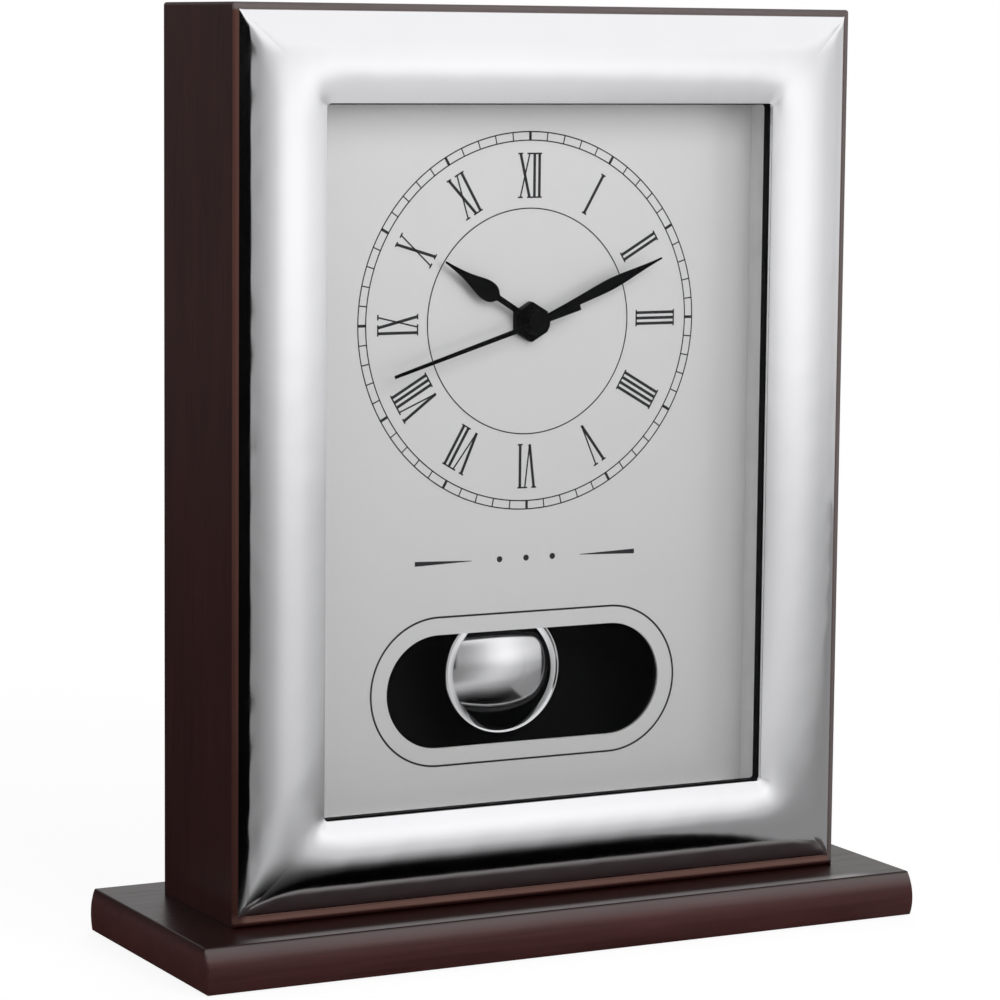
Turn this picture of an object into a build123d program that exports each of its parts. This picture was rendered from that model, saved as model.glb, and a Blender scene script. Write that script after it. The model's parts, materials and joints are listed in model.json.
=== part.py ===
from build123d import *
import math
import os

# Desk pendulum clock: a wooden case on a wide base, a silver frame over a wooden
# moulding, a printed dial with a window for the bob, and a quartz pendulum
# movement behind the dial. Millimetres. The origin is the middle of the underside
# of the base, +X to the viewer's right, -Y towards the viewer and +Z up.

# Base
base_thickness = 11.5
base_nose_radius = 10.2
base_nose_drop = 7.0
base_edge_round = 0.5
base_front_overhang = 18.2
base_back_overhang = 15.5
base_side_overhang = 14.3
felt_thickness = 0.25
felt_inset = 5.0
base_screw_spacing = 120.0
base_screw_inset = 10.0
base_screw_head = 3.5
base_screw_shank = 1.75
base_screw_bite = 7.0

# Case
case_width = 176.4
board_thickness = 11.2
case_edge_round = 0.8

# Frame moulding and its silver skin
frame_width = 22.75
frame_side_margin = 1.55
frame_top_margin = 1.75
frame_bottom_margin = 2.6
crest_height = 3.4
crest_from_lip = 11.2
lip_roll = 0.6
lip_angle = 16.0
shoulder_width = 2.45
shoulder_angle = 20.0
corner_relief_start = 9.0
corner_relief_width = 11.0
silver_thickness = 0.5
glue_gap = 0.05
spigot_clearance = 0.2

# Glass, spacer and dial
glass_setback = 1.8
glass_thickness = 2.0
glazing_rebate = 4.5
glazing_clearance = 0.2
hand_glass_gap = 2.1
spacer_wall = 2.1
dial_thickness = 0.8
dial_board_thickness = 3.0
dial_board_clearance = 0.4
hand_drop = 56.1
window_width = 80.0
window_height = 29.6
window_rise = 28.1
board_window_margin = 1.0
dial_screw_spacing = 66.0
dial_screw_head = 2.2
dial_screw_head_height = 1.2
dial_screw_shank = 1.0
dial_screw_bite = 6.5

# Hands, with their angles clockwise from twelve
hand_thickness = 0.4
hand_gap = 0.8
collet_height = 0.9
hour_hand_length = 30.0
hour_hand_angle = 302.0
hour_stem_half = 0.75
hour_bulb_start = 12.8
hour_bulb_from_centre = 15.9
hour_bulb_half = 2.6
minute_hand_length = 40.2
minute_hand_angle = 66.7
minute_root_half = 0.7
minute_leaf_from_centre = 23.3
minute_leaf_half = 1.5
second_hand_length = 42.8
second_hand_tail = 12.7
second_hand_angle = 252.7
second_tail_half = 0.75
second_tip_half = 0.4
hour_tip_half = 0.25
hour_taper_from_centre = 20.7
minute_tip_half = 0.2
minute_taper_from_centre = 34.2
minute_shoulder_length = 4.7
hour_collet = 3.4
minute_collet = 3.2
second_cap = 3.0

# Movement case
washer_thickness = 0.5
washer_radius = 12.0
movement_depth = 15.0
movement_wall = 1.5
movement_cover = 2.0
movement_room = 3.0
gear_headroom = 0.8
bay_floor = 1.2
bay_front_wall = 1.0
post_radius = 1.8
post_inset = 2.7
contact_reach = 2.25
movement_screw_shank = 0.65
movement_screw_head = 1.4
movement_screw_head_height = 1.0
running_clearance = 0.05
pivot_depth = 0.7

# Centre stack
bush_radius = 3.9
bush_flange_width = 1.1
bush_flange = 0.5
bush_reach = 2.4
nut_wall = 0.6
nut_thickness = 2.2
hour_pipe = 2.5
minute_pipe = 1.6
second_arbor = 0.6

# Gear train
wheel_thickness = 0.8
layer_gap = 0.3
pinion_overlap = 0.1
plate_gap = 0.5
gear_plate_thickness = 1.2
arbor_radius = 0.5
intermediate_distance = 12.96
arbor_clearance = 0.652
minute_distance = 10.08
rotor_distance = 9.1
third_direction = -15.0
minute_direction = 180.0
intermediate_direction = 250.0
rotor_direction = 200.0
setting_direction = 180.0
minute_post = 0.8
setting_arbor_radius = 1.0
setting_knob_radius = 5.0
setting_knob_height = 3.5
setting_knob_gap = 0.3
setting_grips = 12
setting_grip_radius = 1.0
setting_grip_depth = 0.5
gear_addendum = 0.8
gear_dedendum = 1.25
gear_backlash = 0.22
pressure_angle = 20.0

# Motor, circuit and battery
rotor_magnet_radius = 2.6
rotor_magnet_length = 2.8
rotor_air_gap = 0.5
stator_thickness = 1.0
stator_width = 16.0
stator_leg = 2.0
stator_toe = 2.0
coil_radius = 2.6
coil_below_rotor = 10.2
coil_end_gap = 0.2
core_half = 0.8
board_width = 16.0
board_height = 12.0
circuit_thickness = 1.0
circuit_standoff = 3.3
circuit_below_hands = 23.5
circuit_wall_gap = 6.5
standoff_radius = 1.0
battery_radius = 7.25
battery_length = 50.5
battery_nub_radius = 2.75
battery_nub_length = 1.0
battery_clearance = 0.2
contact_thickness = 0.5
contact_width = 8.0

# Pendulum
pendulum_drop = 36.0
pendulum_plane = 12.8
pendulum_swing = 12.0
pin_radius = 0.8
eye_radius = 3.2
pin_boss_radius = 2.2
hanger_thickness = 2.7
hanger_half_width = 2.3
hanger_toe = 1.5
hanger_exit = 1.0
hanger_pad_radius = 4.2
hanger_side_gap = 0.2
magnet_radius = 3.0
magnet_thickness = 1.5
drive_coil_radius = 5.0
drive_coil_bore = 2.2
drive_coil_clearance = 0.6
drive_coil_air_gap = 2.0
peg_radius = 1.0
peg_length = 1.2
slot_clearance = 0.8
rod_width = 3.0
rod_thickness = 0.6
rod_eye_radius = 2.0
rod_free_length = 22.1
bob_radius = 17.0
bob_rise = 2.0
bob_bead = 0.7
bob_groove = 1.0
bob_dome_height = 4.0
bob_sheet = 0.5
bob_back_thickness = 0.6
bob_seat = 0.6

# Back door, hinges and catch
door_thickness = 4.0
door_rebate = 5.0
door_clearance = 0.3
hinge_length = 20.0
hinge_spacing = 135.0
hinge_leaf_thickness = 0.6
hinge_edge_margin = 0.6
hinge_door_leaf = 8.0
knuckle_radius = 1.3
knuckle_lift = 0.05
knuckle_middle = 6.4
knuckle_gap = 0.2
hinge_pin_radius = 0.6
hinge_pin_head = 1.0
hinge_pin_head_height = 0.5
hinge_screw_head = 1.2
hinge_screw_shank = 0.7
hinge_screw_spacing = 13.0
hinge_case_screw_reach = 7.0
hinge_door_screw_reach = 3.4
screw_clearance = 0.05
knob_radius = 4.5
knob_neck_radius = 2.6
knob_neck_length = 3.0
knob_spigot_radius = 2.0
knob_edge_distance = 7.7
catch_length = 18.0
catch_width = 6.5
catch_depth = 7.0
catch_gap = 0.1
strike_length = 14.0
strike_width = 8.0
strike_thickness = 0.8

# Sizes that follow from the ones above
hand_stack = bush_reach + 3 * (hand_gap / 2 + collet_height)
spacer_depth = hand_stack + hand_glass_gap
dial_depth = glass_setback + glass_thickness + spacer_depth + dial_thickness + dial_board_thickness
movement_total = washer_thickness + movement_depth + movement_cover + setting_knob_gap + setting_knob_height
case_depth = dial_depth + movement_total + movement_room + door_thickness
base_depth = base_front_overhang + case_depth + base_back_overhang
base_width = case_width + 2 * base_side_overhang
hinge_case_leaf = door_rebate - hinge_edge_margin

# Planes and centres that the pieces share
base_top = felt_thickness + base_thickness
case_front = -base_depth / 2 + base_front_overhang
case_back = case_front + case_depth
aperture_half = case_width / 2 - frame_side_margin - frame_width
aperture_bottom = base_top + frame_bottom_margin + frame_width
window_z = aperture_bottom + window_rise
bob_z = window_z + bob_rise
peg_z = bob_z + bob_radius + rod_free_length
movement_low = peg_z + rod_eye_radius + hanger_exit
drive_coil_z = movement_low + movement_wall + drive_coil_clearance + drive_coil_radius
pivot_z = drive_coil_z + drive_coil_radius + drive_coil_clearance + pin_boss_radius
hand_z = pivot_z + pendulum_drop
aperture_top = hand_z + hand_drop
aperture_middle_z = (aperture_bottom + aperture_top) / 2
case_top_z = aperture_top + frame_width + frame_top_margin
case_height = case_top_z - base_top
case_middle_z = base_top + case_height / 2
inner_half = case_width / 2 - board_thickness
inner_bottom = base_top + board_thickness
inner_top = case_top_z - board_thickness
glass_front = case_front + glass_setback
glass_back = glass_front + glass_thickness
dial_front = glass_back + spacer_depth
dial_back = dial_front + dial_thickness
dial_board_back = dial_back + dial_board_thickness
movement_front = dial_board_back + washer_thickness
movement_inner = movement_front + movement_wall
movement_back = movement_front + movement_depth
cover_back = movement_back + movement_cover
bob_plane = dial_front + pendulum_plane
bob_back_plane = bob_plane + bob_seat + bob_back_thickness
hanger_back = bob_back_plane
hanger_front = hanger_back - hanger_thickness
drive_coil_back = hanger_front - drive_coil_air_gap
door_front = case_back - door_thickness
door_half = case_width / 2 - door_rebate
hinge_y = case_back + knuckle_radius + knuckle_lift
SIDES = ("left", "right", "top", "bottom")


def block(x0, x1, y0, y1, z0, z1):
    """A box between two corners."""
    middle = Pos((x0 + x1) / 2, (y0 + y1) / 2, (z0 + z1) / 2)
    return middle * Box(x1 - x0, y1 - y0, z1 - z0)


def slab(sketch, y0, y1):
    """A sketch drawn in x and z, made solid from y0 back to y1."""
    return extrude(Plane.XZ.offset(-y1) * sketch, amount=y1 - y0)


def disc(x, z, radius, y0, y1):
    """A cylinder along y."""
    return slab(Pos(x, z) * Circle(radius), y0, y1)


def post(x, y, radius, z0, z1):
    """A cylinder along z."""
    return Pos(x, y, (z0 + z1) / 2) * Cylinder(radius, z1 - z0)


def panel(half_width, z0, z1, y0, y1):
    """A flat rectangular sheet centred on x = 0."""
    return block(-half_width, half_width, y0, y1, z0, z1)


def stadium(width, height):
    """A rectangle with full half-round ends."""
    return SlotOverall(width, height)


def fuse(pieces):
    """The union of several solids."""
    return pieces[0].fuse(*pieces[1:]).clean() if len(pieces) > 1 else pieces[0]


def polar(distance, degrees):
    """The x and z offsets at an angle from +X, as seen from the front."""
    angle = math.radians(degrees)
    return distance * math.cos(angle), distance * math.sin(angle)


def mitre_wedge(side, half_width, z_low, z_high, reach):
    """A prism that keeps one side of a rectangular frame up to its 45 degree mitres."""
    out = half_width + reach
    low, high = z_low - reach, z_high + reach
    corners = {
        "left": [(-half_width, z_low), (-half_width, z_high), (-out, high), (-out, low)],
        "right": [(half_width, z_low), (out, low), (out, high), (half_width, z_high)],
        "top": [(-half_width, z_high), (half_width, z_high), (out, high), (-out, high)],
        "bottom": [(-half_width, z_low), (-out, low), (out, low), (half_width, z_low)],
    }
    sketch = make_face(Polyline(*corners[side], close=True))
    return slab(sketch, -base_depth, base_depth)


def countersunk_screw(head, shank, head_depth, length, clearance=0.0):
    """A screw along z with its flat head's face at z = 0 and its point below."""
    outline = Polyline(
        (0, 0), (head + clearance, 0), (shank + clearance, -head_depth - clearance),
        (shank + clearance, -length - clearance), (0, -length - clearance), close=True)
    return revolve(Plane.XZ * make_face(outline), Axis.Z)


def pan_screw(head, head_height, shank, length):
    """A screw along z whose head stands on z = 0, with its shank below."""
    return post(0, 0, head, 0, head_height) + post(0, 0, shank, -length, 0)


FACING_BACK = Rot(-90, 0, 0)
FACING_DOWN = Rot(180, 0, 0)


# Base
def nose_recess(height):
    """How far the rounded nose falls back at a height above or below its middle."""
    return base_nose_radius - math.sqrt(base_nose_radius ** 2 - height ** 2)


def base_screw_points():
    """Where the four base screws stand in x and y."""
    front = case_front + base_screw_inset
    back = door_front - base_screw_inset
    return [(x, y) for x in (-base_screw_spacing / 2, base_screw_spacing / 2) for y in (front, back)]


def make_base_screws(clearance=0.0):
    """Countersunk screws that come up through the base into the case."""
    length = base_thickness + base_screw_bite
    depth = base_screw_head - base_screw_shank
    screw = countersunk_screw(base_screw_head, base_screw_shank, depth, length, clearance)
    return [Pos(x, y, felt_thickness) * FACING_DOWN * screw for x, y in base_screw_points()]


def make_base():
    """The wooden base, with convex front and back edges."""
    nose = base_depth / 2
    nose_z = base_top - base_nose_drop
    top_y = nose - nose_recess(base_nose_drop)
    low_y = nose - nose_recess(base_thickness - base_nose_drop)
    outline = [
        ThreePointArc((-low_y, felt_thickness), (-nose, nose_z), (-top_y, base_top)),
        Line((-top_y, base_top), (top_y, base_top)),
        ThreePointArc((top_y, base_top), (nose, nose_z), (low_y, felt_thickness)),
        Line((low_y, felt_thickness), (-low_y, felt_thickness)),
    ]
    plinth = extrude(Plane.YZ * make_face(outline), amount=base_width / 2, both=True)
    ends = plinth.edges().filter_by(lambda e: abs(abs(e.center().X) - base_width / 2) < 0.001)
    creases = plinth.edges().filter_by(lambda e: abs(e.center().X) < 0.001 and e.center().Z > base_top - 0.001)
    plinth = fillet(ends + creases, base_edge_round)
    return plinth - make_base_screws(screw_clearance)


def make_felt():
    """The felt pad under the base, which also covers the screws."""
    half_x = base_width / 2 - felt_inset
    half_y = base_depth / 2 - felt_inset
    return block(-half_x, half_x, -half_y, half_y, 0, felt_thickness)


# Case
def make_case_boards():
    """Four boards mitred at the corners, rebated at the back for the door."""
    half = case_width / 2
    shell = block(-half, half, case_front, case_back, base_top, case_top_z)
    foot = base_top + case_edge_round
    rounded = shell.edges().filter_by(lambda e: e.center().Z > foot or e.center().Y < case_front + 0.001)
    shell = fillet(rounded, case_edge_round)
    shell -= block(-inner_half, inner_half, case_front, case_back, inner_bottom, inner_top)
    shell -= block(-door_half, door_half, door_front, case_back,
                   base_top + door_rebate, case_top_z - door_rebate)
    shell = shell - make_base_screws(screw_clearance) - make_hinge_screws("case", screw_clearance)
    boards = {}
    for side in SIDES:
        wedge = mitre_wedge(side, inner_half, inner_bottom, inner_top, 2 * board_thickness)
        boards[side] = shell & wedge
    return boards


# Frame moulding
def face_arcs(inset):
    """The moulding's face as tangent arcs, each as start, middle and end, in distance from
    the lip and height in front of the case; inset gives the same face that much deeper."""
    lean = math.radians(lip_angle)
    roll_u = lip_roll * (1 - math.sin(lean))
    inner_radius = (crest_from_lip - roll_u) / math.sin(lean)
    lip_v = crest_height - inner_radius * (1 - math.cos(lean)) - lip_roll * math.cos(lean)
    run = frame_width - shoulder_width - crest_from_lip
    turn = math.radians(shoulder_angle)
    outer_radius = run / math.sin(turn)
    shoulder_u = crest_from_lip + run
    shoulder_v = crest_height - outer_radius * (1 - math.cos(turn))
    end_turn = 2 * math.atan(shoulder_v / shoulder_width) - turn
    flank_radius = shoulder_width / (math.sin(end_turn) - math.sin(turn))
    flank_u = shoulder_u - flank_radius * math.sin(turn)
    flank_v = shoulder_v - flank_radius * math.cos(turn)
    stop = math.acos(-flank_v / (flank_radius - inset))
    spans = [
        (lip_roll, lip_v, lip_roll, -math.pi / 2, -lean),
        (crest_from_lip, crest_height - inner_radius, inner_radius, -lean, 0.0),
        (crest_from_lip, crest_height - outer_radius, outer_radius, 0.0, turn),
        (flank_u, flank_v, flank_radius, turn, stop),
    ]
    arcs = []
    for centre_u, centre_v, radius, first, last in spans:
        angles = (first, (first + last) / 2, last)
        r = radius - inset
        arcs.append([(centre_u + r * math.sin(a), centre_v + r * math.cos(a)) for a in angles])
    return arcs


def rail_point(side, u, v):
    """A section point of one rail: u out from the lip, v in front of the case."""
    y = case_front - v
    if side == "left":
        return (-aperture_half - u, y, aperture_middle_z)
    if side == "right":
        return (aperture_half + u, y, aperture_middle_z)
    if side == "top":
        return (0, y, aperture_top + u)
    return (0, y, aperture_bottom - u)


def make_rail(side, arcs, corners, inner_arcs=None):
    """One mitred rail: a section of face arcs, straight corners and perhaps a second face."""
    edges = [ThreePointArc(*[rail_point(side, *p) for p in arc]) for arc in arcs]
    points = [arcs[-1][2]] + corners
    if inner_arcs:
        edges += [ThreePointArc(*[rail_point(side, *p) for p in arc]) for arc in inner_arcs]
        edges.append(Line(rail_point(side, *arcs[-1][2]), rail_point(side, *inner_arcs[-1][2])))
        points = [inner_arcs[0][0]] + corners
    points.append(arcs[0][0])
    for first, second in zip(points, points[1:]):
        edges.append(Line(rail_point(side, *first), rail_point(side, *second)))
    upright = side in ("left", "right")
    way = (0, 0, 1) if upright else (1, 0, 0)
    rail = extrude(make_face(edges), amount=case_height, dir=way, both=True)
    return rail & mitre_wedge(side, aperture_half, aperture_bottom, aperture_top, 2 * frame_width)


def spigot_reach(side):
    """How far one rail's spigot reaches out from the lip, just inside the case."""
    reach = {
        "left": inner_half - aperture_half,
        "right": inner_half - aperture_half,
        "top": inner_top - aperture_top,
        "bottom": aperture_bottom - inner_bottom,
    }
    return reach[side] - spigot_clearance


def case_collar():
    """The case's own room behind its front plane, outside the spigot."""
    outer = panel(case_width / 2, base_top, case_top_z, case_front, dial_back)
    opening = panel(inner_half - spigot_clearance, inner_bottom + spigot_clearance,
                    inner_top - spigot_clearance, case_front, dial_back)
    return outer - opening


def corner_reliefs():
    """Room along the outer half of each mitre, where the stamped sheet's corners are rounded."""
    length = math.sqrt(2) * frame_width
    cuts = []
    for way_x in (-1, 1):
        for way_z, lip_z in ((-1, aperture_bottom), (1, aperture_top)):
            x = way_x * (aperture_half + corner_relief_start)
            z = lip_z + way_z * corner_relief_start
            outward = -math.degrees(math.atan2(way_z, way_x))
            room = Pos(length / 2, 0, 0) * Box(length, 2 * crest_height, corner_relief_width)
            cuts.append(Pos(x, case_front - crest_height, z) * Rot(0, outward, 0) * room)
    return cuts


def make_mouldings():
    """Four wooden rails that carry the silver, seat the glass and plug into the case."""
    skin = silver_thickness + glue_gap
    depth = dial_back - case_front
    cuts = [case_collar()] + make_dial_screw_holes() + corner_reliefs()
    rails = {}
    for side in SIDES:
        reach = spigot_reach(side)
        corners = [(reach, 0), (reach, -depth), (glazing_rebate, -depth),
                   (glazing_rebate, -glass_setback), (skin, -glass_setback)]
        rails[side] = make_rail(side, face_arcs(skin), corners) - cuts
    return rails


def make_silver_frame():
    """One thin stamped sheet over the four rails, turned in at the lip."""
    corners = [(silver_thickness, -glass_setback), (0, -glass_setback)]
    rails = [make_rail(side, face_arcs(0), corners, face_arcs(silver_thickness)) for side in SIDES]
    return fuse(rails)


# Glass, spacer and dial
glazing_half = aperture_half + glazing_rebate - glazing_clearance
glazing_low = aperture_bottom - glazing_rebate + glazing_clearance
glazing_high = aperture_top + glazing_rebate - glazing_clearance


def make_glass():
    return panel(glazing_half, glazing_low, glazing_high, glass_front, glass_back)


def make_spacer():
    """The frame that keeps the dial clear of the glass."""
    outer = panel(glazing_half, glazing_low, glazing_high, glass_back, dial_front)
    inner = panel(glazing_half - spacer_wall, glazing_low + spacer_wall,
                  glazing_high - spacer_wall, glass_back, dial_front)
    return outer - inner


def dial_cuts(margin, y0, y1):
    """The window and the hole for the bush, through one sheet."""
    window = stadium(window_width + 2 * margin, window_height + 2 * margin)
    hole = disc(0, hand_z, bush_radius + glazing_clearance, y0, y1)
    return [slab(Pos(0, window_z) * window, y0, y1), hole]


def make_dial_plate():
    sheet = panel(glazing_half, glazing_low, glazing_high, dial_front, dial_back)
    return sheet - dial_cuts(0.0, dial_front, dial_back)


def make_dial_board():
    """The black board that backs the dial and carries the movement."""
    sheet = panel(inner_half - dial_board_clearance, inner_bottom + dial_board_clearance,
                  inner_top - dial_board_clearance, dial_back, dial_board_back)
    return sheet - dial_cuts(board_window_margin, dial_back, dial_board_back) - make_dial_screw_holes()


def dial_screw_points():
    """Where the dial board's screws enter the two upright rails."""
    x = aperture_half + (glazing_rebate + spigot_reach("left")) / 2
    heights = (-dial_screw_spacing, 0, dial_screw_spacing)
    return [(sign * x, aperture_middle_z + h) for sign in (-1, 1) for h in heights]


def make_dial_screws():
    length = dial_board_thickness + dial_screw_bite
    screw = pan_screw(dial_screw_head, dial_screw_head_height, dial_screw_shank, length)
    return [Pos(x, dial_board_back, z) * FACING_BACK * screw for x, z in dial_screw_points()]


def make_dial_screw_holes():
    radius = dial_screw_shank + screw_clearance
    bottom = dial_back - dial_screw_bite - screw_clearance
    return [disc(x, z, radius, bottom, dial_board_back) for x, z in dial_screw_points()]


# Centre stack: each hand's back face, from the nut forwards
nut_front = dial_front - nut_thickness
bush_front = dial_front - bush_reach
hour_hand_y = bush_front - hand_gap / 2
minute_hand_y = hour_hand_y - collet_height - hand_gap / 2
second_hand_y = minute_hand_y - collet_height - hand_gap / 2


def place_hand(sketch, degrees, y_back):
    """Lay a hand, drawn pointing up, at its angle on the centre line."""
    turned = Pos(0, hand_z) * Rot(0, 0, -degrees) * sketch
    return slab(turned, y_back - hand_thickness, y_back)


def mirrored_outline(edges):
    """A closed face from the right half of an outline that starts and ends on the middle."""
    return make_face(edges + [mirror(edge, Plane.YZ) for edge in edges])


def make_hour_hand():
    """A spade: a thin stem, a round bulb and a hollow taper to the tip."""
    waist = hour_bulb_start - hour_stem_half
    side = (hour_bulb_half, hour_bulb_from_centre)
    edges = [
        Line((0, 0), (hour_stem_half, 0)),
        Line((hour_stem_half, 0), (hour_stem_half, waist)),
        Bezier((hour_stem_half, waist), (hour_stem_half, hour_bulb_start),
               (hour_bulb_half, hour_bulb_start), side),
        Bezier(side, (hour_bulb_half, 2 * hour_bulb_from_centre - hour_bulb_start),
               (hour_stem_half, hour_taper_from_centre), (hour_tip_half, hour_hand_length)),
        Line((hour_tip_half, hour_hand_length), (0, hour_hand_length)),
    ]
    blade = place_hand(mirrored_outline(edges), hour_hand_angle, hour_hand_y)
    collet = disc(0, hand_z, hour_collet, hour_hand_y - collet_height, hour_hand_y)
    bore = disc(0, hand_z, hour_pipe, hour_hand_y - collet_height, hour_hand_y)
    return blade + collet - bore


def make_minute_hand():
    """A slim leaf."""
    side = (minute_leaf_half, minute_leaf_from_centre)
    edges = [
        Line((0, 0), (minute_root_half, 0)),
        Bezier((minute_root_half, 0), (minute_root_half, minute_leaf_from_centre / 2),
               (minute_leaf_half, minute_leaf_from_centre - minute_shoulder_length), side),
        Bezier(side, (minute_leaf_half, minute_leaf_from_centre + minute_shoulder_length),
               (2 * minute_tip_half, minute_taper_from_centre), (minute_tip_half, minute_hand_length)),
        Line((minute_tip_half, minute_hand_length), (0, minute_hand_length)),
    ]
    blade = place_hand(mirrored_outline(edges), minute_hand_angle, minute_hand_y)
    collet = disc(0, hand_z, minute_collet, minute_hand_y - collet_height, minute_hand_y)
    bore = disc(0, hand_z, minute_pipe, minute_hand_y - collet_height, minute_hand_y)
    return blade + collet - bore


def make_second_hand():
    """A straight tapered stick with a tail, under a round cap."""
    outline = Polyline(
        (-second_tail_half, -second_hand_tail), (second_tail_half, -second_hand_tail),
        (second_tip_half, second_hand_length), (-second_tip_half, second_hand_length), close=True)
    blade = place_hand(make_face(outline), second_hand_angle, second_hand_y)
    cap = disc(0, hand_z, second_cap, second_hand_y - collet_height, second_hand_y)
    bore = disc(0, hand_z, second_arbor, second_hand_y - hand_thickness, second_hand_y)
    return blade + cap - bore


def make_bush():
    """The threaded bush that clamps the movement to the dial board."""
    tube = disc(0, hand_z, bush_radius, bush_front, movement_inner)
    flange_radius = bush_radius + bush_flange_width
    flange = disc(0, hand_z, flange_radius, movement_inner, movement_inner + bush_flange)
    bore = disc(0, hand_z, hour_pipe + running_clearance, bush_front, movement_inner + bush_flange)
    return tube + flange - bore


def make_nut():
    hexagon = RegularPolygon(bush_radius + nut_wall, 6, major_radius=False, rotation=30)
    nut = slab(Pos(0, hand_z) * hexagon, nut_front, dial_front)
    return nut - disc(0, hand_z, bush_radius + running_clearance, nut_front, dial_front)


def make_washer():
    ring = disc(0, hand_z, washer_radius, dial_board_back, movement_front)
    return ring - disc(0, hand_z, bush_radius + glazing_clearance, dial_board_back, movement_front)


# Gears
def involute(angle):
    return math.tan(angle) - angle


def gear_sketch(teeth, module, phase):
    """A toothed outline: involute flanks from the base circle, radial below it.
    phase is the angle of one tooth's middle, in radians."""
    pitch = module * teeth / 2
    base = pitch * math.cos(math.radians(pressure_angle))
    tip = pitch + gear_addendum * module
    root = pitch - gear_dedendum * module
    half_tooth = math.pi / (2 * teeth) - gear_backlash * module / (2 * pitch)
    spread = half_tooth + involute(math.radians(pressure_angle))
    flank = sorted({root, max(base, root), pitch, tip})
    half = [spread - involute(math.acos(min(1.0, base / r))) for r in flank]
    points = []
    for tooth in range(teeth):
        middle = phase + 2 * math.pi * tooth / teeth
        rising = [(r, middle - a) for r, a in zip(flank, half)]
        falling = [(r, middle + a) for r, a in zip(reversed(flank), reversed(half))]
        points += [(r * math.cos(a), r * math.sin(a)) for r, a in rising + falling]
    return make_face(Polyline(*points, close=True))


def mesh_phase(phase, teeth, other_teeth, direction):
    """The phase that sets a gear in mesh with one whose phase is known."""
    way = math.radians(direction)
    return way + math.pi + math.pi / other_teeth - (phase - way) * teeth / other_teeth


def gear(centre, teeth, module, phase, y0, y1):
    x, z = centre
    return slab(Pos(x, z) * gear_sketch(teeth, module, phase), y0, y1)


def offset_from(centre, distance, direction):
    x, z = polar(distance, direction)
    return centre[0] + x, centre[1] + z


ROTOR_TEETH = 10
INTERMEDIATE_TEETH = 60
INTERMEDIATE_LEAVES = 12
SECOND_TEETH = 60
SECOND_LEAVES = 8
THIRD_TEETH = 64
THIRD_LEAVES = 8
CENTRE_TEETH = 60
CANNON_TEETH = 12
MINUTE_TEETH = 36
MINUTE_LEAVES = 10
HOUR_TEETH = 40
SETTING_TEETH = 12

rotor_module = 2 * rotor_distance / (ROTOR_TEETH + INTERMEDIATE_TEETH)
second_module = 2 * intermediate_distance / (INTERMEDIATE_LEAVES + SECOND_TEETH)
second_tip = second_module * (SECOND_TEETH / 2 + gear_addendum)
third_distance = second_tip + arbor_radius + arbor_clearance
third_module = 2 * third_distance / (SECOND_LEAVES + THIRD_TEETH)
centre_module = 2 * third_distance / (THIRD_LEAVES + CENTRE_TEETH)
minute_module = 2 * minute_distance / (CANNON_TEETH + MINUTE_TEETH)
hour_module = 2 * minute_distance / (MINUTE_LEAVES + HOUR_TEETH)
setting_distance = minute_module * (MINUTE_TEETH + SETTING_TEETH) / 2

hand_point = (0.0, hand_z)
intermediate_point = offset_from(hand_point, intermediate_distance, intermediate_direction)
rotor_point = offset_from(intermediate_point, rotor_distance, rotor_direction)
third_point = offset_from(hand_point, third_distance, third_direction)
minute_point = offset_from(hand_point, minute_distance, minute_direction)
setting_point = offset_from(minute_point, setting_distance, setting_direction)

LAYERS = 6
first_layer = movement_inner + bush_flange + layer_gap
plate_front = first_layer + LAYERS * (wheel_thickness + layer_gap) - layer_gap + plate_gap
plate_back = plate_front + gear_plate_thickness
pivot_front = movement_inner - pivot_depth


def layer(number):
    """The front and back of one layer of wheels, counted from the dial."""
    front = first_layer + (number - 1) * (wheel_thickness + layer_gap)
    return front, front + wheel_thickness


def wheel(centre, teeth, module, phase, number):
    return gear(centre, teeth, module, phase, *layer(number))


def pinion(centre, teeth, module, phase, number):
    front, back = layer(number)
    return gear(centre, teeth, module, phase, front - pinion_overlap, back + pinion_overlap)


def arbor(centre, radius, y0, y1):
    return disc(*centre, radius, y0, y1)


def hub(centre, module, leaves, first, last):
    """A plain hub that joins a pinion to the wheel in a neighbouring layer."""
    radius = module * (leaves / 2 - gear_dedendum)
    return disc(*centre, radius, layer(first)[0], layer(last)[1])


def make_second_wheel():
    """Seconds wheel, its pinion and the long arbor that carries the second hand."""
    return fuse([
        wheel(hand_point, SECOND_TEETH, second_module, 0.0, 5),
        pinion(hand_point, SECOND_LEAVES, third_module, 0.0, 4),
        hub(hand_point, third_module, SECOND_LEAVES, 4, 5),
        arbor(hand_point, second_arbor, second_hand_y - hand_thickness, plate_back),
    ])


def make_intermediate_wheel():
    phase = mesh_phase(0.0, SECOND_TEETH, INTERMEDIATE_LEAVES, intermediate_direction)
    return fuse([
        wheel(intermediate_point, INTERMEDIATE_TEETH, rotor_module, 0.0, 6),
        pinion(intermediate_point, INTERMEDIATE_LEAVES, second_module, phase, 5),
        hub(intermediate_point, second_module, INTERMEDIATE_LEAVES, 5, 6),
        arbor(intermediate_point, arbor_radius, pivot_front, plate_back),
    ])


rotor_back = layer(6)[0] - layer_gap
rotor_front = rotor_back - rotor_magnet_length


def make_rotor_pinion():
    phase = mesh_phase(0.0, INTERMEDIATE_TEETH, ROTOR_TEETH, rotor_direction)
    return fuse([
        pinion(rotor_point, ROTOR_TEETH, rotor_module, phase, 6),
        arbor(rotor_point, arbor_radius, pivot_front, plate_back),
    ])


def make_rotor_magnet():
    ring = arbor(rotor_point, rotor_magnet_radius, rotor_front, rotor_back)
    return ring - arbor(rotor_point, arbor_radius, rotor_front, rotor_back)


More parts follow.
